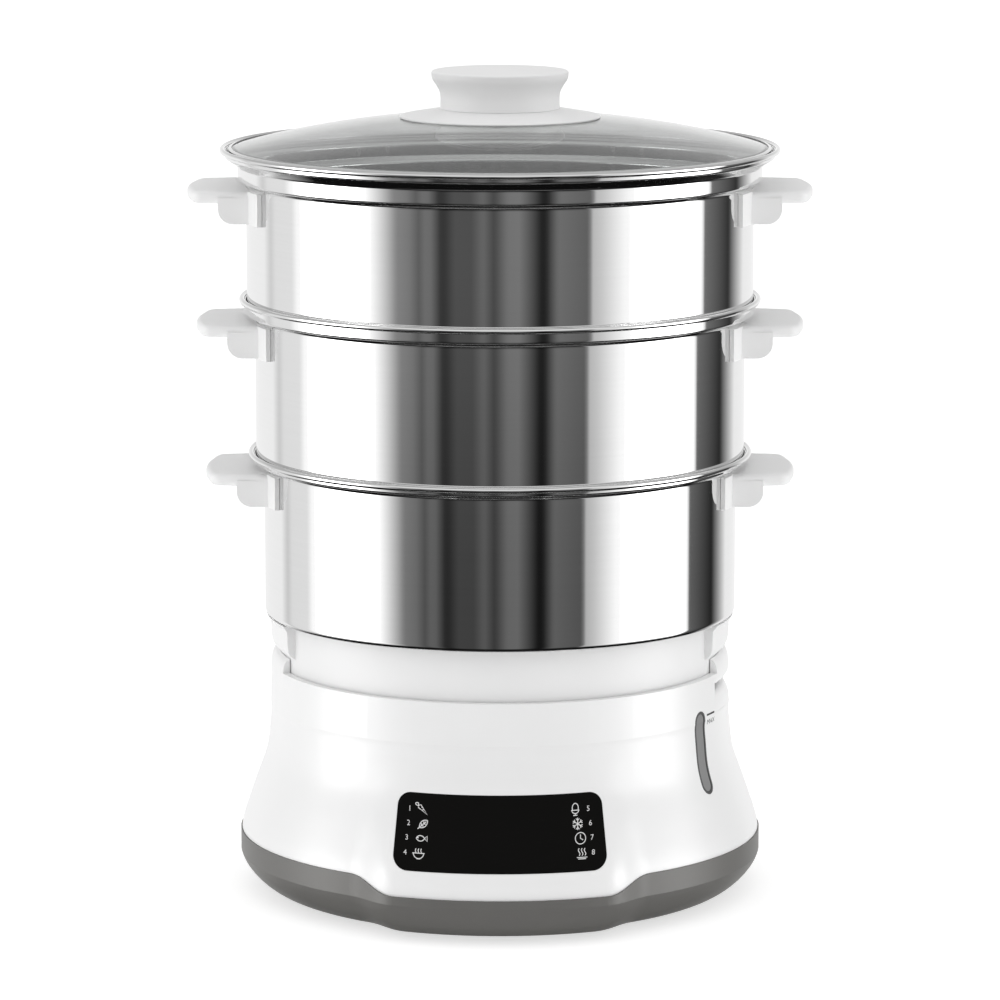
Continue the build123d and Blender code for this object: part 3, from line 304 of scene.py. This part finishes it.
# %% Make the floor
def mesh_piece(name, points, faces):
    """A mesh object from points and faces, linked to the scene."""
    mesh = bpy.data.meshes.new(name)
    mesh.from_pydata([tuple(p) for p in points], [], faces)
    mesh.validate()
    mesh.update()
    piece = bpy.data.objects.new(name, mesh)
    scene.collection.objects.link(piece)
    return piece


FLOOR_HALF = 15.0
FLOOR_GLOW = 0.6
PAPER = ("#cecece", "#d2d2d2")
PAPER_GRAINS = 900.0  # clouds of the two greys along one side of the floor
signs = [(-1, -1), (1, -1), (1, 1), (-1, 1)]
floor_corners = [(x * FLOOR_HALF, y * FLOOR_HALF, 0.0) for x, y in signs]
floor = mesh_piece("floor", floor_corners, [(0, 1, 2, 3)])
floor.visible_glossy = False

paper = bpy.data.materials.new("white_backdrop_paper")
paper.use_nodes = True
sheet = paper.node_tree
grain = add(sheet, "ShaderNodeTexNoise", {"Scale": PAPER_GRAINS, "Detail": 4.0})
greys = {"Color1": linear(PAPER[0]), "Color2": linear(PAPER[1])}
tone = add(sheet, "ShaderNodeMixRGB", {"Fac": grain.outputs["Fac"]} | greys)
matt = sheet.nodes["Principled BSDF"]
sheet.links.new(tone.outputs["Color"], matt.inputs["Base Color"])
matt.inputs["Roughness"].default_value = 0.9
matt.inputs["Specular IOR Level"].default_value = 0.0
matt.inputs["Emission Color"].default_value = linear("#ffffff")
matt.inputs["Emission Strength"].default_value = FLOOR_GLOW
floor.data.materials.append(paper)
print("floor is", 2 * FLOOR_HALF, "m wide")

# %% [markdown]
# ## Materials
#
# Each material starts as one Principled shader. A pattern in object space sits
# on it in real millimetres, because every mesh here keeps the frame's metres.
# The real grain of a moulding is some hundredths of a millimetre, too fine to
# show on a whole steamer, so it is drawn about ten times as coarse. Under it lie
# two close colours in broad clouds, because no moulding is quite even.


# %% Material helpers
def shader(name, **values):
    """A new material, its node tree and its Principled shader."""
    made = bpy.data.materials.new(name)
    made.use_nodes = True
    principled = made.node_tree.nodes["Principled BSDF"]
    for socket, value in values.items():
        principled.inputs[socket.replace("_", " ")].default_value = value
    return made, made.node_tree, principled


def per_mm(size):
    """The scale of a noise whose grains are this many millimetres wide."""
    return 1.0 / (size * MM)


def textured(tree, principled, colours, rough, relief_mm, clouds, grains):
    """Let clouds mix two colours, and grains vary the roughness and the relief."""
    mix = {"Fac": clouds, "Color1": linear(colours[0]), "Color2": linear(colours[1])}
    colour = add(tree, "ShaderNodeMixRGB", mix)
    vary = {"Value": grains, "To Min": rough[0], "To Max": rough[1]}
    gloss = add(tree, "ShaderNodeMapRange", vary)
    relief = {"Height": grains, "Distance": relief_mm * MM, "Strength": 1.0}
    bump = add(tree, "ShaderNodeBump", relief)
    tree.links.new(colour.outputs["Color"], principled.inputs["Base Color"])
    tree.links.new(gloss.outputs["Result"], principled.inputs["Roughness"])
    tree.links.new(bump.outputs["Normal"], principled.inputs["Normal"])


CLOUD_MM = 30.0


def grainy(tree, principled, colours, grain_mm, rough, relief_mm):
    """Give a shader the look of a moulding, with its grain this wide."""
    place = add(tree, "ShaderNodeTexCoord").outputs["Object"]
    grain = {"Vector": place, "Scale": per_mm(grain_mm), "Detail": 3.0}
    cloud = {"Vector": place, "Scale": per_mm(CLOUD_MM), "Detail": 2.0}
    fine = add(tree, "ShaderNodeTexNoise", grain).outputs["Fac"]
    broad = add(tree, "ShaderNodeTexNoise", cloud).outputs["Fac"]
    textured(tree, principled, colours, rough, relief_mm, broad, fine)


print("a grain of 1 mm has the scale", per_mm(1.0))

# %% [markdown]
# ### Plastics
#
# The base is ABS from a polished mould, so it has a soft gloss. The handles and
# the knob are polypropylene with a spark-eroded texture, which scatters light
# and reads as matt. The skirt is the same, in a warm grey. Each line gives two
# colours, the grain in millimetres, the roughness and the depth of the grain.

# %% Mix the plastics
# polished mould: a soft gloss that blurs the softboxes to broad shines
gloss_abs, tree, skin = shader("gloss_white_ABS", IOR=1.53)
grainy(tree, skin, ("#efefef", "#f2f2f2"), 1.2, (0.26, 0.34), 0.002)

# plain mould: a silky sheen on the drip tray and the turbo ring
satin_pp, tree, skin = shader("satin_white_polypropylene", IOR=1.49)
grainy(tree, skin, ("#ededed", "#f1f1f1"), 0.8, (0.4, 0.5), 0.004)

# spark-eroded mould: matt, with no mirror image left
matt_pp, tree, skin = shader("spark_eroded_white_polypropylene", IOR=1.49)
grainy(tree, skin, ("#eeeeee", "#f2f2f2"), 0.6, (0.55, 0.65), 0.01)

# the same in warm grey, with a faint sheen along its edges
grey_pp, tree, skin = shader("spark_eroded_grey_polypropylene", IOR=1.49)
grainy(tree, skin, ("#636260", "#686764"), 0.6, (0.38, 0.48), 0.008)

# plain light grey inside the base, duller than the shell
tank_pp, tree, skin = shader("moulded_light_grey_polypropylene", IOR=1.49)
grainy(tree, skin, ("#c9c9c7", "#d0d0ce"), 0.8, (0.4, 0.5), 0.004)

# soft to the touch: dark, with almost no gloss
dark_elastomer, tree, skin = shader("dark_grey_thermoplastic_elastomer", IOR=1.5)
grainy(tree, skin, ("#454545", "#4b4b4b"), 0.5, (0.5, 0.6), 0.01)

# milky rubber with a dull bloom
silicone, tree, skin = shader("translucent_silicone_rubber", IOR=1.41)
grainy(tree, skin, ("#d6d3cc", "#dedbd4"), 0.8, (0.5, 0.6), 0.005)

# dry black feet that swallow light
rubber, tree, skin = shader("black_nitrile_rubber", IOR=1.52)
grainy(tree, skin, ("#242424", "#2c2c2c"), 0.4, (0.65, 0.8), 0.02)
print("materials so far:", len(bpy.data.materials))

# %% [markdown]
# ### Metals
#
# The baskets are 304 stainless sheet, polished after spinning. The wheel leaves
# lines round the wall that are far too fine to see one by one, so the pattern
# here is drawn coarser: a noise stretched along the circumference.


# %% Mix the metals
STRETCH = (0.02, 0.02, 1.0)  # draws the noise out fifty times along the level directions


def metal(name, colours, rough, line_mm, relief_mm):
    """Polished metal with faint lines left by a wheel round the stack axis."""
    made, tree, skin = shader(name, Metallic=1.0)
    place = add(tree, "ShaderNodeTexCoord").outputs["Object"]
    stretched = add(tree, "ShaderNodeMapping", {"Vector": place, "Scale": STRETCH})
    line = {"Vector": stretched.outputs["Vector"], "Scale": per_mm(line_mm), "Detail": 2.0}
    lines = add(tree, "ShaderNodeTexNoise", line).outputs["Fac"]
    textured(tree, skin, colours, rough, relief_mm, lines, lines)
    return made


# almost a clean mirror, with a breath of haze along the lines
mirror_steel = metal(
    "polished_304_stainless_steel", ("#eeeeee", "#f2f2f2"), (0.03, 0.06), 1.5, 0.00003
)
# brushed: the studio blurs to a soft sheen
satin_steel = metal(
    "brushed_304_stainless_steel", ("#cfcfcf", "#dadada"), (0.22, 0.34), 0.6, 0.002
)
# plated: bluish and a little cloudy
zinc_steel = metal("zinc_plated_steel", ("#c4c6c8", "#d2d4d6"), (0.25, 0.4), 0.5, 0.002)
# pressed and left bare: pale and dull
aluminium = metal("pressed_aluminium", ("#d2d4d6", "#dcdee0"), (0.3, 0.45), 0.6, 0.002)
# browned by its own heat
sheath = metal("oxidised_steel_heater_sheath", ("#6a6662", "#7a756f"), (0.4, 0.6), 0.5, 0.004)
print("materials so far:", len(bpy.data.materials))

# %% [markdown]
# ### Clear parts, the panel and the boards
#
# The lid is soda-lime glass, clear and only a shade grey. The level window is
# smoky acrylic, the touch panel is black acrylic printed in white, and the
# boards are glass-filled epoxy.

# %% Mix the clear parts and the boards
# clear and smooth: seen by what it reflects and by its bright edge
lid_glass_skin, tree, skin = shader(
    "toughened_soda_lime_glass", IOR=1.52, Transmission_Weight=1.0
)
grainy(tree, skin, ("#e4e6e5", "#e8eae9"), 20.0, (0.0, 0.01), 0.0)

# a grey strip with a soft gloss, too smoky to see the water through
smoky_acrylic, tree, skin = shader("smoky_acrylic", IOR=1.49)
grainy(tree, skin, ("#8a8a8a", "#929292"), 4.0, (0.12, 0.18), 0.001)

# coated against glare: plain black, with hardly a reflection
black_acrylic, tree, skin = shader("black_gloss_acrylic", IOR=1.49, Specular_IOR_Level=0.06)
grainy(tree, skin, ("#080807", "#0b0a09"), 6.0, (0.1, 0.16), 0.0005)

# thick white ink: flat and a little off white
print_ink, tree, skin = shader("white_screen_print_ink", IOR=1.5)
grainy(tree, skin, ("#d8d8d8", "#e2e2e2"), 0.3, (0.5, 0.6), 0.001)

# thin dark ink: flat
mark_ink, tree, skin = shader("dark_pad_print_ink", IOR=1.5)
grainy(tree, skin, ("#2e2e2e", "#363636"), 0.3, (0.5, 0.6), 0.001)

# green resist over the copper: a middling gloss
board_green, tree, skin = shader("green_epoxy_board", IOR=1.55)
grainy(tree, skin, ("#2c5a3a", "#33633f"), 0.5, (0.3, 0.45), 0.01)

# cast resin round the digits
display_black, tree, skin = shader("black_display_resin", IOR=1.5)
grainy(tree, skin, ("#16161a", "#1c1c20"), 1.0, (0.3, 0.4), 0.002)

# heat-proof silicone sleeves: brick red and dull
lead_red, tree, skin = shader("red_silicone_wire_insulation", IOR=1.41)
grainy(tree, skin, ("#8e2a24", "#9a322b"), 0.5, (0.5, 0.6), 0.01)

# plain cable sheath
lead_grey, tree, skin = shader("grey_PVC_wire_insulation", IOR=1.53)
grainy(tree, skin, ("#6c6c6c", "#757575"), 0.5, (0.45, 0.55), 0.01)
print("materials:", len(bpy.data.materials))

# %% [markdown]
# ### Dress the CAD nodes
#
# Every node of the frame takes one of these finishes. Some nodes are replaced
# further down by a finer mesh, which then takes the same one.

# %% Give each node its material
FINISHES = {
    "base_shell": gloss_abs,
    "base_skirt": grey_pp,
    "cord_gland": dark_elastomer,
    "bottom_cover": grey_pp,
    "rubber_feet": rubber,
    "bottom_screws": zinc_steel,
    "water_tank": tank_pp,
    "water_inlet": gloss_abs,
    "level_gasket": dark_elastomer,
    "level_window": smoky_acrylic,
    "turbo_ring": satin_pp,
    "heating_plate": satin_steel,
    "heater_seal": silicone,
    "clamp_ring": zinc_steel,
    "clamp_screws": zinc_steel,
    "heat_spreader": aluminium,
    "heating_element": sheath,
    "thermostat": zinc_steel,
    "control_panel": black_acrylic,
    "control_board": board_green,
    "display_module": display_black,
    "power_board": board_green,
    "heater_leads": lead_red,
    "panel_lead": lead_grey,
    "juice_collector": satin_pp,
    "lid_glass": lid_glass_skin,
    "lid_ring": mirror_steel,
    "lid_knob": matt_pp,
    "knob_flange": gloss_abs,
    "knob_seal": silicone,
    "knob_screw": satin_steel,
}
for number in (1, 2, 3):
    basket = f"basket_{number}"
    FINISHES[f"{basket}_wall"] = mirror_steel
    FINISHES[f"{basket}_grid"] = satin_steel
    FINISHES[f"{basket}_screws"] = satin_steel
    for side in ("right", "left"):
        FINISHES[f"{basket}_handle_{side}"] = matt_pp

for name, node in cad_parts.items():
    node.data.materials.clear()
    node.data.materials.append(FINISHES[name])
print("dressed:", len(FINISHES), "of", len(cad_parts))

# %% [markdown]
# ## Spun steel
#
# A basket is one steel blank, spun to a wall with a ledge and a rolled rim. The
# CAD mesh has flat facets round its wall, and a mirror shows every one of them
# as a step in the stripes. Dividing that mesh further would keep its facets. So
# each wall is made again here, from the same section, turned in fine even steps
# with smooth shading.
#
# A section is first drawn as straight runs along the outside of the sheet. One
# helper moves them in by the sheet's thickness, and one rounds their corners.


# %% Helpers for a sheet's section
BEND_STEPS = 6
GUARD = 0.5  # mm of straight kept beside each bend, so that its shading stays local


def mitred(points, gap):
    """The same line of (radius, height) points, moved to its left by a gap."""
    runs = [(b - a).normalized() for a, b in zip(points, points[1:])]
    lefts = [Vector((-run.y, run.x)) for run in runs]
    moved = []
    for point, before, after in zip(points, lefts[:1] + lefts, lefts + lefts[-1:]):
        moved.append(point + (before + after) * gap / (1 + before.dot(after)))
    return moved


def bent(points, radii, guard=GUARD):
    """A line of points with each inner corner rounded to its radius."""
    line = [points[0]]
    for before, corner, after, radius in zip(points, points[1:], points[2:], radii):
        back, on = (before - corner).normalized(), (after - corner).normalized()
        half = back.angle(on) / 2
        reach = radius / tan(half)
        middle = corner + (back + on).normalized() * radius / sin(half)
        start, end = corner + back * reach - middle, corner + on * reach - middle
        first = atan2(start.y, start.x)
        sweep = (atan2(end.y, end.x) - first + pi) % (2 * pi) - pi
        line.append(middle + start + back * guard)
        for step in range(BEND_STEPS + 1):
            angle = first + sweep * step / BEND_STEPS
            line.append(middle + Vector((cos(angle), sin(angle))) * radius)
        line.append(middle + end + on * guard)
    return line + [points[-1]]


print("steps in a bend:", BEND_STEPS)

# %% [markdown]
# The section is then turned about the stack axis, and the new piece gets its
# material, its body and the nodes that it stands in for.


# %% Helpers that turn a section and dress a piece
TURN_STEPS = 288
SHARP = radians(40)  # an edge that turns more than this stays sharp


def turned(name, section):
    """Turn a closed section of (radius, height) points in mm about the stack axis.

    It runs up the outside and down the inside, so that its faces look outwards.
    """
    points, faces = [], []
    count = len(section)
    for step in range(TURN_STEPS):
        angle = 2 * pi * step / TURN_STEPS
        points += [(r * MM * cos(angle), r * MM * sin(angle), z * MM) for r, z in section]
        here, there = step * count, (step + 1) % TURN_STEPS * count
        for k in range(count):
            after = (k + 1) % count
            faces.append((here + k, there + k, there + after, here + after))
    piece = mesh_piece(name, points, faces)
    piece.data.shade_smooth()
    piece.data.set_sharp_from_angle(angle=SHARP)
    return piece


def dressed(piece, material, body, slot, *nodes):
    """Give a new piece its material and body, and hide the nodes that it replaces; the slot is not
    used.
    """
    piece.data.materials.clear()
    piece.data.materials.append(material)
    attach(piece, body)
    if nodes:
        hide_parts(*nodes)


print("steps round a basket:", TURN_STEPS)

# %% [markdown]
# Each wall's section starts at the ring that the grid rests on, turns up the
# wall, and steps out over a sloping ledge to the collar that the next basket
# nests in. The top basket has a second, wider collar for the lid. The rim is
# rolled outwards into a bead. All sizes are in millimetres.

# %% Name the sizes of the three walls
SHEET = 0.8
BOTTOM_RING = 11.0
FIRST_R, FIRST_FOOT = 125.5, 149.1  # the lowest wall's radius and height
WIDER = 4.3  # each wall stands this much outside the one below
NESTING = 0.34  # each foot sits this much below the corner of the ledge under it
LEDGE, TOP_LEDGE, LID_FLARE = (5.6, 1.9), (4.4, 1.9), (6.8, 4.3)
# for each basket: the runs (out, up) of the wall's outside, from its foot to the
# middle of its bead, the radii of the bends between them, and the bead's radius
BASKETS = (
    (((0, 80.4), LEDGE, (0, 3.5)), (3.0, 1.2, 1.2), 1.6),
    (((0, 77.25), LEDGE, (0, 6.8)), (3.0, 1.2, 1.2), 1.6),
    (((0, 69.05), TOP_LEDGE, (0, 7.6), LID_FLARE, (0, 3.45)), (3.0, 1.6, 1.2, 1.2, 1.2), 1.49),
)
print("basket heights:", [round(sum(up for _, up in runs), 2) for runs, _, _ in BASKETS])


# %% Spin the three basket walls
BEAD_STEPS = 28


def wall_section(foot, runs, bends, bead):
    """The closed section of a basket wall with its rolled rim."""
    corners = [(foot[0] - BOTTOM_RING, foot[1]), foot]
    for out, up in runs:
        corners.append((corners[-1][0] + out, corners[-1][1] + up))
    collar, rim = corners[-1]
    outside = [Vector(corner) for corner in corners]
    inside = mitred(outside, SHEET)
    # a left turn is tighter inside the sheet, a right turn is wider
    tighter = []
    for before, corner, after, radius in zip(outside, outside[1:], outside[2:], bends):
        left = (corner - before).cross(after - corner) > 0
        tighter.append(radius - SHEET if left else radius + SHEET)
    # the bead leaves the collar's outside at its lowest angle and rolls round to
    # the collar's inside
    middle = Vector((collar + bead - SHEET / 2, rim))
    lowest = pi + atan2(sqrt(bead**2 - (bead - SHEET / 2) ** 2), bead - SHEET / 2)
    outer = bent(outside, bends)
    outer[-1] = Vector((collar, middle.y + bead * sin(lowest)))
    roll = []
    for step in range(1, BEAD_STEPS + 1):
        angle = lowest + (3 * pi - lowest) * step / BEAD_STEPS
        roll.append(middle + Vector((cos(angle), sin(angle))) * bead)
    return outer + roll + bent(inside, tighter)[::-1]


foot_height = FIRST_FOOT
for number, (runs, bends, bead) in enumerate(BASKETS, 1):
    basket = f"basket_{number}"
    foot = (FIRST_R + WIDER * (number - 1), foot_height)
    wall = turned(f"{basket}_spun_wall", wall_section(foot, runs, bends, bead))
    foot_height += runs[0][1] + runs[1][1] - NESTING
    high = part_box(f"{basket}_wall")[1]
    past_side = max(v.co.x for v in wall.data.vertices) - high[0]
    past_top = max(v.co.z for v in wall.data.vertices) - high[2]
    print(basket, "past the CAD wall:", round(past_side, 5), round(past_top, 5))
    dressed(wall, mirror_steel, basket, "steel", f"{basket}_wall")

# %% [markdown]
# ## The lid
#
# The lid is a shallow dome of toughened glass, a cap of one large sphere, with
# its edge ground to a small bevel above and below. It is turned too: a clean
# dome matters, because the rear wall of the studio lies along its horizon.

# %% Turn the glass
DOME_R = 560.0
DOME_MIDDLE = -144.9
GLASS_R = 142.7
GLASS_THICK = 3.5
GLASS_HOLE = 4.0
GLASS_RINGS = 40
BEVEL_START = 0.6  # mm in from the edge
BEVEL = ((0.25, 0.12), (0.0, 0.5))  # mm in from the edge and off the dome's face


def dome(radius, drop=0.0):
    """A point of the dome's outside at a radius, or of its inside."""
    return Vector((radius, DOME_MIDDLE - drop + sqrt(DOME_R**2 - radius**2)))


stretch = GLASS_R - BEVEL_START - GLASS_HOLE
radii = [GLASS_HOLE + stretch * k / GLASS_RINGS for k in range(GLASS_RINGS + 1)]
outside = [dome(r) for r in radii]
outside += [dome(GLASS_R - inset) - Vector((0, off)) for inset, off in BEVEL]
inside = [dome(r, GLASS_THICK) for r in radii]
inside += [dome(GLASS_R - inset, GLASS_THICK) + Vector((0, off)) for inset, off in BEVEL]
glass = turned("domed_lid_glass", inside + outside[::-1])
dressed(glass, lid_glass_skin, "lid", "glass", "lid_glass")
print("glass faces:", len(glass.data.polygons))

# %% [markdown]
# A thin steel band is folded over the edge of the glass, above and below, with
# a tenth of a millimetre to spare. The fold rounds its upper corner, and that
# draws the fine bright line round the lid.

# %% Fold the lid's steel band
RING_R = 143.3
RING_LOW = 392.69
RING_SHEET = 0.5
RING_LIP = 1.2
RING_BEND = 0.45
RING_GUARD = 0.1  # the sheet is thin, so the straight beside its bend is short
FIT = 0.1
lip = GLASS_R - RING_LIP
over = dome(lip).y + FIT
edge = dome(GLASS_R).y + FIT
band = [(RING_R, RING_LOW), (RING_R, edge + RING_SHEET), (lip, over + RING_SHEET), (lip, over)]
band += [(GLASS_R + FIT, edge), (GLASS_R + FIT, edge - GLASS_THICK - 2 * FIT)]
band += [(lip, over - GLASS_THICK - 2 * FIT), (lip, over - GLASS_THICK - 2 * FIT - RING_SHEET)]
band += [(RING_R - 2 * RING_SHEET, RING_LOW)]
band = [Vector(point) for point in band]
ring = turned("folded_lid_band", bent(band[:3], [RING_BEND], RING_GUARD) + band[3:])
past_top = max(v.co.z for v in ring.data.vertices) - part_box("lid_ring")[1][2]
print("band past the CAD ring:", round(past_top, 5))
dressed(ring, mirror_steel, "lid", "steel", "lid_ring")

# %% [markdown]
# ## Printing
#
# The touch panel shows eight programmes, each with a number and a small
# picture, printed in white. The pictures here are plain drawings of food and
# kitchen signs. Each one is a few strokes, drawn flat as ribbons of even width,
# laid on the curved panel by rays from the front, and lifted by the thickness
# of the ink. An image on the panel would be quicker, but a thin mesh stays sharp
# from close by and has an ink of its own.


# %% Helpers that lay a print on a surface
INK = 0.04 * MM
REACH = 0.3  # rays start this far from the stack axis


def surface(node):
    """A tree of a node's faces, for rays."""
    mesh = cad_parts[node].data
    return BVHTree.FromPolygons([v.co for v in mesh.vertices], [p.vertices for p in mesh.polygons])


def laid(name, points, faces, target, azimuth):
    """A print from flat (across, height) points in mm, laid on a surface."""
    out = Vector((sin(azimuth), -cos(azimuth), 0.0))
    across = Vector((cos(azimuth), sin(azimuth), 0.0))
    placed = []
    for u, z in points:
        start = out * REACH + across * u * MM + Vector((0.0, 0.0, z * MM))
        hit, normal, _, _ = target.ray_cast(start, -out)
        placed.append(hit + normal * INK)
    return mesh_piece(name, placed, faces)


print("ink is", INK / MM, "mm thick")


# %% Helpers that draw strokes and letters
def ribbon(strokes, width):
    """Flat points and faces of strokes drawn with an even width."""
    points, faces = [], []
    for stroke in strokes:
        line = [Vector(p) for p in stroke]
        ends = [line[0] * 2 - line[1]] + line + [line[-1] * 2 - line[-2]]
        first = len(points)
        for before, here, after in zip(ends, line, ends[2:]):
            run = (after - before).normalized()
            side = Vector((-run.y, run.x)) * width / 2
            points += [here - side, here + side]
        for k in range(first, len(points) - 2, 2):
            faces.append((k, k + 2, k + 3, k + 1))
    return points, faces


def bow(x, y, across, up, start=0, end=360, steps=16):
    """Points along an oval arc, from one angle in degrees to another."""
    angles = [radians(start + (end - start) * k / steps) for k in range(steps + 1)]
    return [(x + across * cos(a), y + up * sin(a)) for a in angles]


def tilted(strokes, degrees):
    """The same strokes turned by this many degrees."""
    c, s = cos(radians(degrees)), sin(radians(degrees))
    return [[(x * c - y * s, x * s + y * c) for x, y in stroke] for stroke in strokes]


def lettered(text, size):
    """Flat points and faces of a short text, centred, in mm."""
    curve = bpy.data.curves.new("text", "FONT")
    curve.body = text
    curve.size = size
    curve.align_x = curve.align_y = "CENTER"
    holder = bpy.data.objects.new("text", curve)
    mesh = bpy.data.meshes.new_from_object(holder)
    points = [(v.co.x, v.co.y) for v in mesh.vertices]
    faces = [tuple(p.vertices) for p in mesh.polygons]
    bpy.data.meshes.remove(mesh)
    bpy.data.objects.remove(holder)
    bpy.data.curves.remove(curve)
    return points, faces


print("points in a full turn:", len(bow(0, 0, 1, 1)))

# %% [markdown]
# The drawings: a carrot, a leaf, a fish, a bowl, an egg in its cup, a snow
# crystal for frozen food, a clock for the delayed start, and steam over a plate
# for keeping food warm. Each fits a square of ten units.

# %% Draw the eight pictures
CARROT = [[(-3, 3), (-1.2, 3.6), (4.5, -4), (-3.6, 1.4), (-3, 3)]]
CARROT += [bow(-4.4, 4.2, 1.5, 0.9, 20, 250, 8)]
CARROT += [[(-3, 3), (-3.4, 5)], [(-3, 3), (-5, 2.9)]]
CARROT += [[(-0.6, 1.4), (0.6, 2)], [(0.2, -0.6), (1.4, 0)]]
LEAF = [bow(0, -3.2, 5.6, 5.6, 34.8, 145.2, 12), bow(0, 3.2, 5.6, 5.6, 214.8, 325.2, 12)]
LEAF += [[(-6.6, 0), (3.2, 0)]]
LEAF += [[(x, 0), (x + 1.4, rise)] for x in (-2.4, 0.2) for rise in (1.4, -1.4)]
LEAF = tilted(LEAF, 38)
FISH = [bow(-0.6, -2.6, 4.4, 4.8, 32, 150, 12), bow(-0.6, 2.6, 4.4, 4.8, 210, 328, 12)]
FISH += [[(3.1, 0), (5.4, 2.2), (5.4, -2.2), (3.1, 0)], bow(-2.8, 0.5, 0.35, 0.35, 0, 360, 8)]
BOWL = [bow(0, 0, 4.6, 4.4, 180, 360), [(-5.4, 0), (5.4, 0)], [(-1.6, -4.6), (1.6, -4.6)]]
BOWL += [bow(x, 2.1, 0.7, 1.5, 270, 90, 6) for x in (-2.0, 0.4, 2.8)]
EGG = [bow(0, 1.2, 2.7, 3.7, -28, 208), [(-3.6, -0.6), (3.6, -0.6)]]
EGG += [bow(0, -0.6, 3.1, 2.6, 180, 360, 10)]
EGG += [[(0, -3.2), (0, -4.4)], [(-1.8, -4.6), (1.8, -4.6)]]
CRYSTAL = []
for angle in (90, 30, -30):
    x, y = cos(radians(angle)), sin(radians(angle))
    CRYSTAL.append([(-4.8 * x, -4.8 * y), (4.8 * x, 4.8 * y)])
    for way in (-1, 1):
        tip = Vector((x, y)) * 2.6 * way
        arm = Vector((x, y)) * 4.2 * way
        barb = Vector((-y, x)) * 1.5
        CRYSTAL.append([tuple(arm + barb), tuple(tip), tuple(arm - barb)])
CLOCK = [bow(0, 0, 4.6, 4.6, 0, 360, 24), [(0, 3), (0, 0), (2.3, -1.4)]]
CLOCK += [[(4.1 * x, 4.1 * y), (4.6 * x, 4.6 * y)] for x, y in ((1, 0), (0, 1), (-1, 0), (0, -1))]
WARM = [[(-4.6, -3.4), (4.6, -3.4)], [(-3.4, -4.6), (3.4, -4.6)]]
for x in (-2.6, 0, 2.6):
    WARM.append([(x + 0.7 * sin(k * pi / 4), -2.0 + 0.75 * k) for k in range(9)])
PICTURES = ((CARROT, LEAF, FISH, BOWL), (EGG, CRYSTAL, CLOCK, WARM))
print("pictures:", sum(len(side) for side in PICTURES))

# %% Print the panel
PROGRAMME_ROWS = (67.55, 60.94, 54.27, 47.3)  # heights in mm
LABELS = ((-46.4, -47.0, -47.9, -48.7), (45.4, 46.5, 47.3, 47.9))
SYMBOLS = ((-40.0, -39.3, -40.5, -41.8), (38.7, 39.9, 41.3, 42.1))
NUMBER_SIZE = 3.5
PICTURE_SIZE = 0.58  # mm for each unit of a drawing
STROKE = 0.42

panel_face = surface("control_panel")
print_points, print_faces = [], []


def collect(points, faces, across, height, scale=1.0):
    """Add a drawing to the panel's print, moved to its place."""
    first = len(print_points)
    print_points.extend((across + u * scale, height + v * scale) for u, v in points)
    print_faces.extend(tuple(first + k for k in face) for face in faces)


number = 1
for labels, symbols, pictures in zip(LABELS, SYMBOLS, PICTURES):
    for height, at, spot, strokes in zip(PROGRAMME_ROWS, labels, symbols, pictures):
        collect(*lettered(str(number), NUMBER_SIZE), at, height)
        collect(*ribbon(strokes, STROKE / PICTURE_SIZE), spot, height, PICTURE_SIZE)
        number += 1
panel_print = laid("programme_print", print_points, print_faces, panel_face, 0.0)
dressed(panel_print, print_ink, "base", "panel_black")
print("print faces:", len(print_faces))

# %% [markdown]
# The level window has a mark for the highest water level beside it: a bar and
# a word, in dark ink on the white shell. It is laid on by rays too, from the
# side that the window looks to. The bar is cut into short lengths, so that it
# bends with the shell.

# %% Print the level mark
MARK_AZIMUTH = radians(64.5)
BAR_LEFT, BAR_RIGHT, BAR_LOW, BAR_HIGH = -4.5, 5.5, 102.3, 103.3
BAR_STEPS = 10
WORD_AT = (0.8, 98.8)
WORD_SIZE = 3.7
WORD_STRETCH = 1.25

shell_face = surface("base_shell")
spans = [BAR_LEFT + (BAR_RIGHT - BAR_LEFT) * k / BAR_STEPS for k in range(BAR_STEPS + 1)]
mark_points = [(u, z) for u in spans for z in (BAR_LOW, BAR_HIGH)]
mark_faces = [(k, k + 2, k + 3, k + 1) for k in range(0, 2 * BAR_STEPS, 2)]
first = len(mark_points)
letters, letter_faces = lettered("MAX", WORD_SIZE)
mark_points += [(WORD_AT[0] + u * WORD_STRETCH, WORD_AT[1] + v) for u, v in letters]
mark_faces += [tuple(first + k for k in face) for face in letter_faces]
mark = laid("level_mark", mark_points, mark_faces, shell_face, MARK_AZIMUTH)
dressed(mark, mark_ink, "base", "gasket_dark")
print("mark faces:", len(mark_faces))
